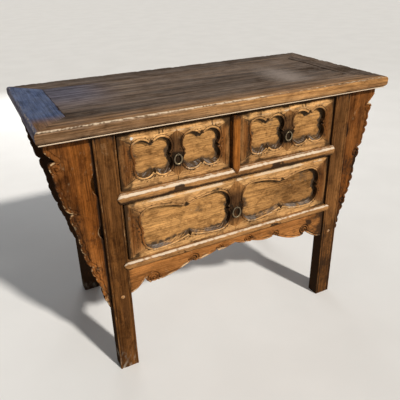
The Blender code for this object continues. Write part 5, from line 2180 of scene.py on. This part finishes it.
        depth[-self.wall_rows :] = brow + (back - brow) * down
        joints = [knots[name] for name in ("top_right", "low_right", "low_left", "top_left")]
        gap = np.abs(along[:, None] - along[joints])
        joint = bell(np.minimum(gap, total - gap).min(axis=1), 0.0, 0.0008)
        on_face = np.r_[0.0, 0.0, np.ones(flats + 1), np.zeros(rims + self.wall_rows)][:, None]
        groove = np.r_[np.zeros(flats + 2), 0.5, 1.0, 0.5, np.zeros(rims + self.wall_rows - 2)][:, None]
        bead = np.r_[np.zeros(flats + 4), np.sin(turn), np.zeros(self.wall_rows)][:, None]
        wall = np.r_[np.zeros(rows - self.wall_rows - 2), 0.4, 0.8, np.ones(self.wall_rows)][:, None]
        depth = depth + self.joint_depth * joint * on_face
        from_loop, _ = nearest(plan, loop)
        edge = np.minimum(right - x, np.minimum(z - bottom, top - z))
        sloped_edge = np.minimum(right - x, top - z)
        fine = uneven(x + 1.6 * depth, z - 1.2 * depth, 0.0065, seed + 7)
        rough = uneven(x, z, 0.045, seed)
        coarse = uneven(x, z, 0.11, seed + 3)
        corner = np.hypot(np.minimum(right - x, 0.05), np.minimum(top - z, z - bottom))
        from_ring = np.hypot(x - self.middle, z - (top + bottom) / 2.0 + self.ring_shade_drop)
        from_notch = self.from_notch(loop[knots["head"]], x, z)
        stile = np.zeros(count)
        stile[knots["top_right"] : knots["low_right"] + 1] = 1.0
        stile[knots["low_left"] : knots["top_left"] + 1] = 1.0
        tone = smoothed(1.0 - stile, self.tone_smoothing)
        # Painted highlight: a pale line just below the top slope.
        gleam = lay.top_gleam * bell(top - z, self.slope_run + 0.0015, 0.0032)
        masks: Masks = {
            "upright": np.broadcast_to(stile, (rows, count)),
            "gold": np.where(
                x < self.middle + lay.mullion,
                ease(0.034, 0.080, np.abs(z - level)),
                np.maximum(tone, 0.18 * ease(0.022, 0.012, right - x)),
            ),
            "wear": 0.20 * bead * (0.75 + 0.5 * rough)
            + 0.46 * bead * sill * (0.30 + np.maximum(0.0, fine))
            + 0.30 * bell(sloped_edge, self.slope_run, 0.0035) * (0.5 + 0.6 * rough)
            + gleam * (0.7 + 0.4 * coarse) * ease(0.006, 0.060, right - x),
            "dirt": 0.50 * joint * on_face
            + 0.70 * groove
            + 0.24 * bead * (1.0 - sill)
            + 0.55 * ease(0.0025, 0.0, edge)
            + (self.gap_shade if on_left else self.edge_shade) * ease(0.0130, 0.0085, right - x)
            + (self.left_shade if on_left else 0.0) * bell(right - x, 0.033, 0.011) * on_face
            + 0.75 * ease(0.050, 0.010, corner) * (0.55 + 0.45 * rough)
            + 0.40 * ease(0.020, 0.004, from_loop) * ease(-0.2, 0.9, -rough) * on_face
            + 0.75 * ease(0.022, 0.006, from_loop) * np.maximum(0.0, uneven(x, z, 0.008, seed + 8)) * on_face
            + 0.35 * ease(0.3, 1.0, coarse)
            # Painted shade on the recess walls, less where a wall faces up as a sill.
            + wall * (1.10 - lay.sill_light * sill - 0.22 * sill * fine)
            + lay.ring_shade * ease(0.036, 0.014, from_ring)
            # Painted shadow under the spike in the middle of the head.
            + 1.30 * ease(1.35 * self.notch_reach, 0.85 * self.notch_reach, from_notch),
            "dust": wall * sill * (lay.sill_dust + 0.14 * rough + lay.sill_flecks * fine),
        }
        points = xyz(x, depth, z)
        picked = {name: np.broadcast_to(value, (rows, count))[:, columns] for name, value in masks.items()}
        real = (outer[:, 0] > self.middle + WELD)[columns]
        return points[:, columns], picked, real

    def border_piece(self, first: str, last: str, seed: int) -> MeshMaker:
        """Make the part of both halves of the front between two marked lines, closed at those lines.

        Args:
            first: Marked line where the part starts.
            last: Marked line where it ends, going clockwise on the right half.
            seed: Number that fixes the wear.

        Returns:
            The part's mesh.
        """
        left, _, right, _ = self.extent
        loop, knots = self.outline()
        start, stop = knots[first], knots[last]
        stop += loop.shape[0] if stop <= start else 0
        columns = np.arange(start, stop + 1) % loop.shape[0]
        maker = MeshMaker()
        for mirrored in (False, True):
            own = self.left_recess(loop) if mirrored else loop
            points, masks, real = self.half_front(columns, own, knots, seed + int(mirrored), mirrored)
            if mirrored:
                points[..., 0] -= self.left_gap * ease(right - self.gap_reach, right, points[..., 0])
                points[..., 0] = left + right - points[..., 0]
            keep = np.ones((points.shape[0], points.shape[1] - 1), dtype=bool)
            keep[0] = real[1:] | real[:-1]
            index = maker.add_grid(points, masks, back_to_start=True, keep=keep)
            maker.add_cap(index[:, 0])
            maker.add_cap(index[::-1, -1])
        return maker

    def ground(self) -> MeshMaker:
        """Lay the ground board as a flat grid, darker along the recesses' edges, with painted shadow under their right
        sides and heads.

        Returns:
            The board's mesh.
        """
        left, bottom, right, top = self.extent
        loop, knots = self.outline()
        _, half_height, level, _ = self.halves()
        across = np.linspace(left, right, self.layout.ground_columns)
        x, z = np.meshgrid(across, np.linspace(bottom, top, self.ground_rows))
        middle = self.middle
        out = np.abs(x - middle)
        out = out + np.where(x < middle, self.squeeze_by(out), 0.0)
        from_loop, closest = nearest(np.stack([middle + out, z], axis=-1), loop)
        from_notch = self.from_notch(loop[knots["head"]], middle + out, z)
        ahead = heading(loop)
        rightward = -ahead[closest, 1] * np.where(x < middle, -1.0, 1.0)
        in_painted_shadow = np.clip(rightward + 0.5 * ahead[closest, 0], 0.0, 1.0)
        rough = uneven(x, z, 0.035, self.seed)
        coarse = uneven(x, z, 0.09, self.seed + 1)
        front = self.ground_y + self.ground_dip * (1.0 + rough)
        sill_head = level - half_height + self.layout.sill_run
        low = ease(sill_head + 0.022, sill_head, z)
        masks: Masks = {
            "dirt": 0.72 * ease(0.024, 0.0, from_loop) * (0.55 + 0.45 * rough)
            # Painted shadow under the right side and head of each recess.
            + 0.90 * in_painted_shadow * ease(0.015, 0.004, from_loop)
            # Painted shadow under the spike in the middle of each head.
            + 1.30 * ease(1.6 * self.notch_reach, self.notch_reach, from_notch)
            + 0.40 * ease(0.35, 1.0, coarse)
            + 0.40 * low,
            "gold": 1.0 - self.dim_right * ease(0.02, 0.30, (x - middle) / (right - left)),
            "dust": 0.15 * low * (0.5 + 0.5 * rough),
            "wear": 0.22 * ease(0.3, 1.0, coarse - rough),
        }
        return shell(xyz(x, front, z), xyz(x, self.ground_y + self.ground_thickness, z), masks)

    def ring(self, hinge: Grid) -> MeshMaker:
        """Bend a wire into a long ring that hangs from the hinge, a little thinner where it hangs.

        The ring is an ellipse, and each of its points carries a circle of wire.

        Args:
            hinge: Place that the ring hangs from.

        Returns:
            The ring's mesh.
        """
        turn = np.linspace(0.0, math.tau, 72, endpoint=False)[:, None]
        angle = np.linspace(0.0, math.tau, 18, endpoint=False)
        wire = self.ring_wire + self.ring_swell * ease(0.9, -0.2, np.cos(turn))
        half_width = self.layout.ring_radius * self.ring_narrow
        half_height = self.layout.ring_radius * self.ring_long
        points = xyz(
            hinge[0] + (half_width + wire * np.cos(angle)) * np.sin(turn),
            hinge[1] + wire * np.sin(angle),
            hinge[2] - half_height + (half_height + wire * np.cos(angle)) * np.cos(turn),
        )
        maker = MeshMaker()
        worn = 0.20 + 0.35 * ease(0.6, -1.0, np.cos(turn))
        maker.add_grid(points, {"wear": worn}, around=True, back_to_start=True)
        return maker

    def pin(self, hinge: Grid) -> MeshMaker:
        """Bend a wire round the ring into an eye, and lead both ends back through the front to be clinched.

        Args:
            hinge: Middle of the eye.

        Returns:
            The pin's mesh.
        """
        radius = self.eye_hole + self.eye_wire
        inside = self.eye_standoff + self.frame_thickness + LAYOUT.seat_gap + self.ground_thickness
        clinch = inside + LAYOUT.seat_gap + 2.0 * self.eye_wire
        open_by = math.asin(self.pin_offset / radius) + 0.25
        turn = np.linspace(open_by, math.tau - open_by, 44)
        eye = np.stack([radius * np.cos(turn), radius * np.sin(turn)], axis=1)
        neck = np.array([[self.eye_neck, self.pin_offset]])
        deep = np.linspace(self.eye_neck + 0.002, clinch - 0.001, 8)
        leg = np.stack([deep, np.full(8, self.pin_offset)], axis=1)
        bend = np.array([[clinch, self.pin_offset + 0.001], [clinch, self.pin_offset + self.pin_bend]])
        start = np.concatenate([neck, leg, bend])[::-1]
        flat = np.concatenate([start, eye, start[::-1] * [1.0, -1.0]])
        path = hinge + np.stack([np.zeros(len(flat)), flat[:, 0], flat[:, 1]], axis=1)
        return tube(rod(path, self.eye_wire, 12, np.array([1.0, 0.0, 0.0])), {"wear": 0.25})

    def hinge(self) -> Grid:
        """Find the ring's hinge in the frame's joints."""
        wanted = f"{self.name}_ring_hinge"
        return np.array(next(joint["pos_m"] for joint in frame["joints"] if joint["name"] == wanted))

    def build(self) -> None:
        """Make the frame, the mullion, the ground, the pin and the ring."""
        name = self.name

        def piece(part: str, slot: str, material: Material, leans: bool = True) -> Piece:
            """Describe one piece of this drawer, which rides on the drawer or on its ring."""
            body = f"{name}_ring" if part == "pull_ring" else name
            return dressed(f"{name}_{part}", slot, material, body, leans)

        wood = FRONT_WOOD.material(Grain.ALONG_X)
        self.border_piece("top_left", "low_left", self.seed).build(piece("frame", "front_wood", wood))
        dark = DARK_WOOD.material(Grain.ALONG_X)
        self.border_piece("low_left", "top_left", self.seed + 5).build(piece("mullion", "dark_wood", dark))
        self.ground().build(piece("ground", "front_wood", GROUND_WOOD.material(Grain.ALONG_X)))
        brass = OLD_BRASS.material()
        hinge = self.hinge()
        self.ring(hinge).build(piece("pull_ring", "old_brass", brass, leans=False))
        self.pin(hinge).build(piece("pull_pin", "old_brass", brass, leans=False))


# ---- Solids that stay as they are ----


@dataclass
class PlainBoards:
    """Boards whose solids already have the right shape: they get a finish and softened edges."""

    edge_round: float = 0.0012
    edge_angle: float = math.radians(40.0)
    merge: float = 0.00001
    finishes: dict[str, WoodFinish] = field(
        default_factory=lambda: {"leg_wood": SIDE_WOOD, "dark_wood": SHADE_PAINTED_RAIL_WOOD, "inner_wood": INNER_WOOD}
    )

    def grain(self, node: str) -> Grain:
        """Run the grain along a board's longest side.

        Args:
            node: The board's name.

        Returns:
            The way its grain runs.
        """
        low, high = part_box(node)
        sides = [high[axis] - low[axis] for axis in range(3)]
        return (Grain.ALONG_X, Grain.ALONG_Y, Grain.ALONG_Z)[sides.index(max(sides))]

    def slot_of(self, node: str) -> str:
        """Find the material slot that the record gives a node."""
        return next(part["material_slot"] for part in frame["record"]["subparts"] if part["node"] == node)

    def build(self, nodes: list[str]) -> None:
        """Dress every node that no new piece stands for.

        Args:
            nodes: Names of the nodes that are still shown.
        """
        for node in nodes:
            shown = frame["nodes"][node]
            finish = self.finishes[self.slot_of(node)]
            shown.data.materials.clear()
            shown.data.materials.append(finish.material(self.grain(node)))
            weld = shown.modifiers.new("merge corners", "WELD")
            weld.merge_threshold = self.merge
            soften = shown.modifiers.new("soften edges", "BEVEL")
            soften.width = self.edge_round
            soften.segments = 2
            soften.limit_method = "ANGLE"
            soften.angle_limit = self.edge_angle
            LOG.info("%s: solid kept, %s", node, finish.name)


# ---- Studio ----


@dataclass(frozen=True)
class Lamp:
    """A square lamp: where it hangs, its side, its power in watts and its colour."""

    name: str
    place: Place
    size: float
    power: float
    colour: Colour

    def hang(self, aim: Place) -> None:
        """Hang the lamp.

        Args:
            aim: Place that it faces.
        """
        data = bpy.data.lights.new(self.name, "AREA")
        data.shape, data.size, data.energy, data.color = "SQUARE", self.size, self.power, self.colour
        made = link_object(self.name, data)
        made.visible_glossy = False
        way = Vector(aim) - Vector(self.place)
        made.matrix_world = Matrix.Translation(self.place) @ way.to_track_quat("-Z", "Y").to_matrix().to_4x4()


@dataclass
class Studio:
    """Pale floor, soft light and the camera that stands where the photograph was taken."""

    image_side: int = 400
    focal_pixels: float = 459.64
    sensor: float = 36.0
    place: Place = (-0.7000, -1.3733, 1.2244)
    yaw: float = math.radians(26.739)
    pitch: float = math.radians(27.784)
    roll: float = math.radians(-0.997)
    floor_colour: Colour = (0.80, 0.79, 0.77)
    floor_cloud: Colour = (0.83, 0.82, 0.80)
    floor_reach: float = 40.0
    ambient: Colour = (0.96, 0.98, 1.0)
    ambient_strength: float = 0.17
    key_from: Place = (0.25, -0.73, 0.64)
    key_softness: float = math.radians(4.0)
    key_strength: float = 3.4
    key_colour: Colour = (1.0, 0.96, 0.90)
    middle: Place = (0.0, 0.0, 0.5)
    fills: tuple[Lamp, ...] = (
        Lamp("left fill", (-3.2, 0.4, 1.6), 2.0, 3.0, (0.93, 0.96, 1.0)),
        Lamp("back fill", (0.6, 3.4, 1.4), 2.0, 40.0, (0.97, 0.98, 1.0)),
    )

    def camera(self) -> None:
        """Stand the camera at the photograph's place and turn it by its yaw, pitch and roll."""
        ahead = Vector(
            (
                math.sin(self.yaw) * math.cos(self.pitch),
                math.cos(self.yaw) * math.cos(self.pitch),
                -math.sin(self.pitch),
            )
        )
        level = Vector((math.cos(self.yaw), -math.sin(self.yaw), 0.0))
        above = level.cross(ahead)
        right = math.cos(self.roll) * level + math.sin(self.roll) * above
        up = -math.sin(self.roll) * level + math.cos(self.roll) * above
        data = bpy.data.cameras.new("photograph")
        data.sensor_width = self.sensor
        data.lens = self.focal_pixels / self.image_side * self.sensor
        made = link_object("photograph", data)
        made.matrix_world = Matrix.Translation(self.place) @ Matrix((right, up, -ahead)).transposed().to_4x4()
        bpy.context.scene.camera = made

    def key(self) -> None:
        """Hang the main lamp far off to the front right, so that it lights the floor evenly."""
        data = bpy.data.lights.new("key", "SUN")
        data.energy, data.angle, data.color = self.key_strength, self.key_softness, self.key_colour
        made = link_object("key", data)
        made.matrix_world = Vector(self.key_from).to_track_quat("Z", "Y").to_matrix().to_4x4()

    def world(self) -> None:
        """Light the room evenly, and show white to the camera and to reflections."""
        world = bpy.data.worlds.new("studio")
        world.use_nodes = True
        world.node_tree.nodes.clear()
        graph = Graph(world.node_tree)
        path = graph.node("ShaderNodeLightPath").outputs
        seen = graph.math("MAXIMUM", path["Is Camera Ray"], path["Is Glossy Ray"])
        seen = graph.math("MAXIMUM", seen, path["Is Transmission Ray"])
        even = graph.node("ShaderNodeBackground", {"Color": self.ambient, "Strength": self.ambient_strength})
        white = graph.node("ShaderNodeBackground", {"Color": (1.0, 1.0, 1.0), "Strength": 1.0})
        both = graph.node("ShaderNodeMixShader", {0: seen, 1: even.outputs[0], 2: white.outputs[0]})
        graph.node("ShaderNodeOutputWorld", {"Surface": both.outputs[0]})
        bpy.context.scene.world = world

    def floor(self) -> None:
        """Lay a wide pale floor."""
        side = np.linspace(-self.floor_reach, self.floor_reach, 3)
        x, y = np.meshgrid(side, side)
        mesh = bpy.data.meshes.new("floor")
        quads = [[0, 1, 4, 3], [1, 2, 5, 4], [3, 4, 7, 6], [4, 5, 8, 7]]
        mesh.from_pydata(xyz(x, y, 0.0).reshape(-1, 3), [], quads)
        material, graph = blank_material("pale floor")
        place = graph.node("ShaderNodeTexCoord").outputs["Object"]
        cloud = graph.noise(place, (3.0, 3.0, 3.0), 3.0, 0.5)
        colour = graph.mix(graph.spread(cloud, 0.3, 0.7), self.floor_colour, self.floor_cloud)
        matt = {"Base Color": colour, "Roughness": 0.9, "Specular IOR Level": 0.1}
        shader = graph.node("ShaderNodeBsdfPrincipled", matt)
        graph.node("ShaderNodeOutputMaterial", {"Surface": shader.outputs[0]})
        mesh.materials.append(material)
        made = link_object("floor", mesh)

    def build(self) -> None:
        """Set up camera, lamps, world and floor."""
        bpy.context.scene.view_settings.view_transform = "Standard"
        self.camera()
        self.world()
        self.floor()
        self.key()
        for lamp in self.fills:
            lamp.hang(self.middle)


def main() -> None:
    """Build every sub-assembly in order."""
    logging.basicConfig(level=logging.INFO, format="%(name)s: %(message)s")
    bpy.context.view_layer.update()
    TableTop().build()
    Legs().build()
    FrontRails().build()
    Wings().build()
    Apron().build()
    divider_left = LAYOUT.divider_place - LAYOUT.divider_half
    divider_right = LAYOUT.divider_place + LAYOUT.divider_half
    upper_left = (-LAYOUT.leg_inner_x, LAYOUT.upper_sill, divider_left, LAYOUT.upper_head)
    upper_right = (divider_right, LAYOUT.upper_sill, LAYOUT.leg_inner_x, LAYOUT.upper_head)
    lower = (-LAYOUT.leg_inner_x, LAYOUT.lower_sill, LAYOUT.leg_inner_x, LAYOUT.lower_head)
    left = DrawerFront("drawer_left", UPPER_FRONT, upper_left, seed=110, left_squeeze=0.009, left_gap=0.0040)
    left.build()
    pale = PALE_WOOD.material(Grain.ALONG_Y)
    NAIL_PLUG.make(left.face_depth).build(Piece("drawer_left_plug", "drawer_left", (), "front_wood", pale))
    DrawerFront("drawer_right", UPPER_FRONT, upper_right, seed=140, left_squeeze=0.006).build()
    wide = DrawerFront("drawer_lower", LOWER_FRONT, lower, seed=170, left_squeeze=0.013)
    replace(wide, left_sag=0.005, left_gap=0.0062, dim_right=0.8, gap_shade=1.4).build()
    replaced = {row.name.removesuffix(DRESSED) for row in bpy.data.objects if row.name.endswith(DRESSED)}
    PlainBoards().build([node for node in frame["nodes"] if node not in replaced])
    Studio().build()


if __name__ == "__main__":
    main()
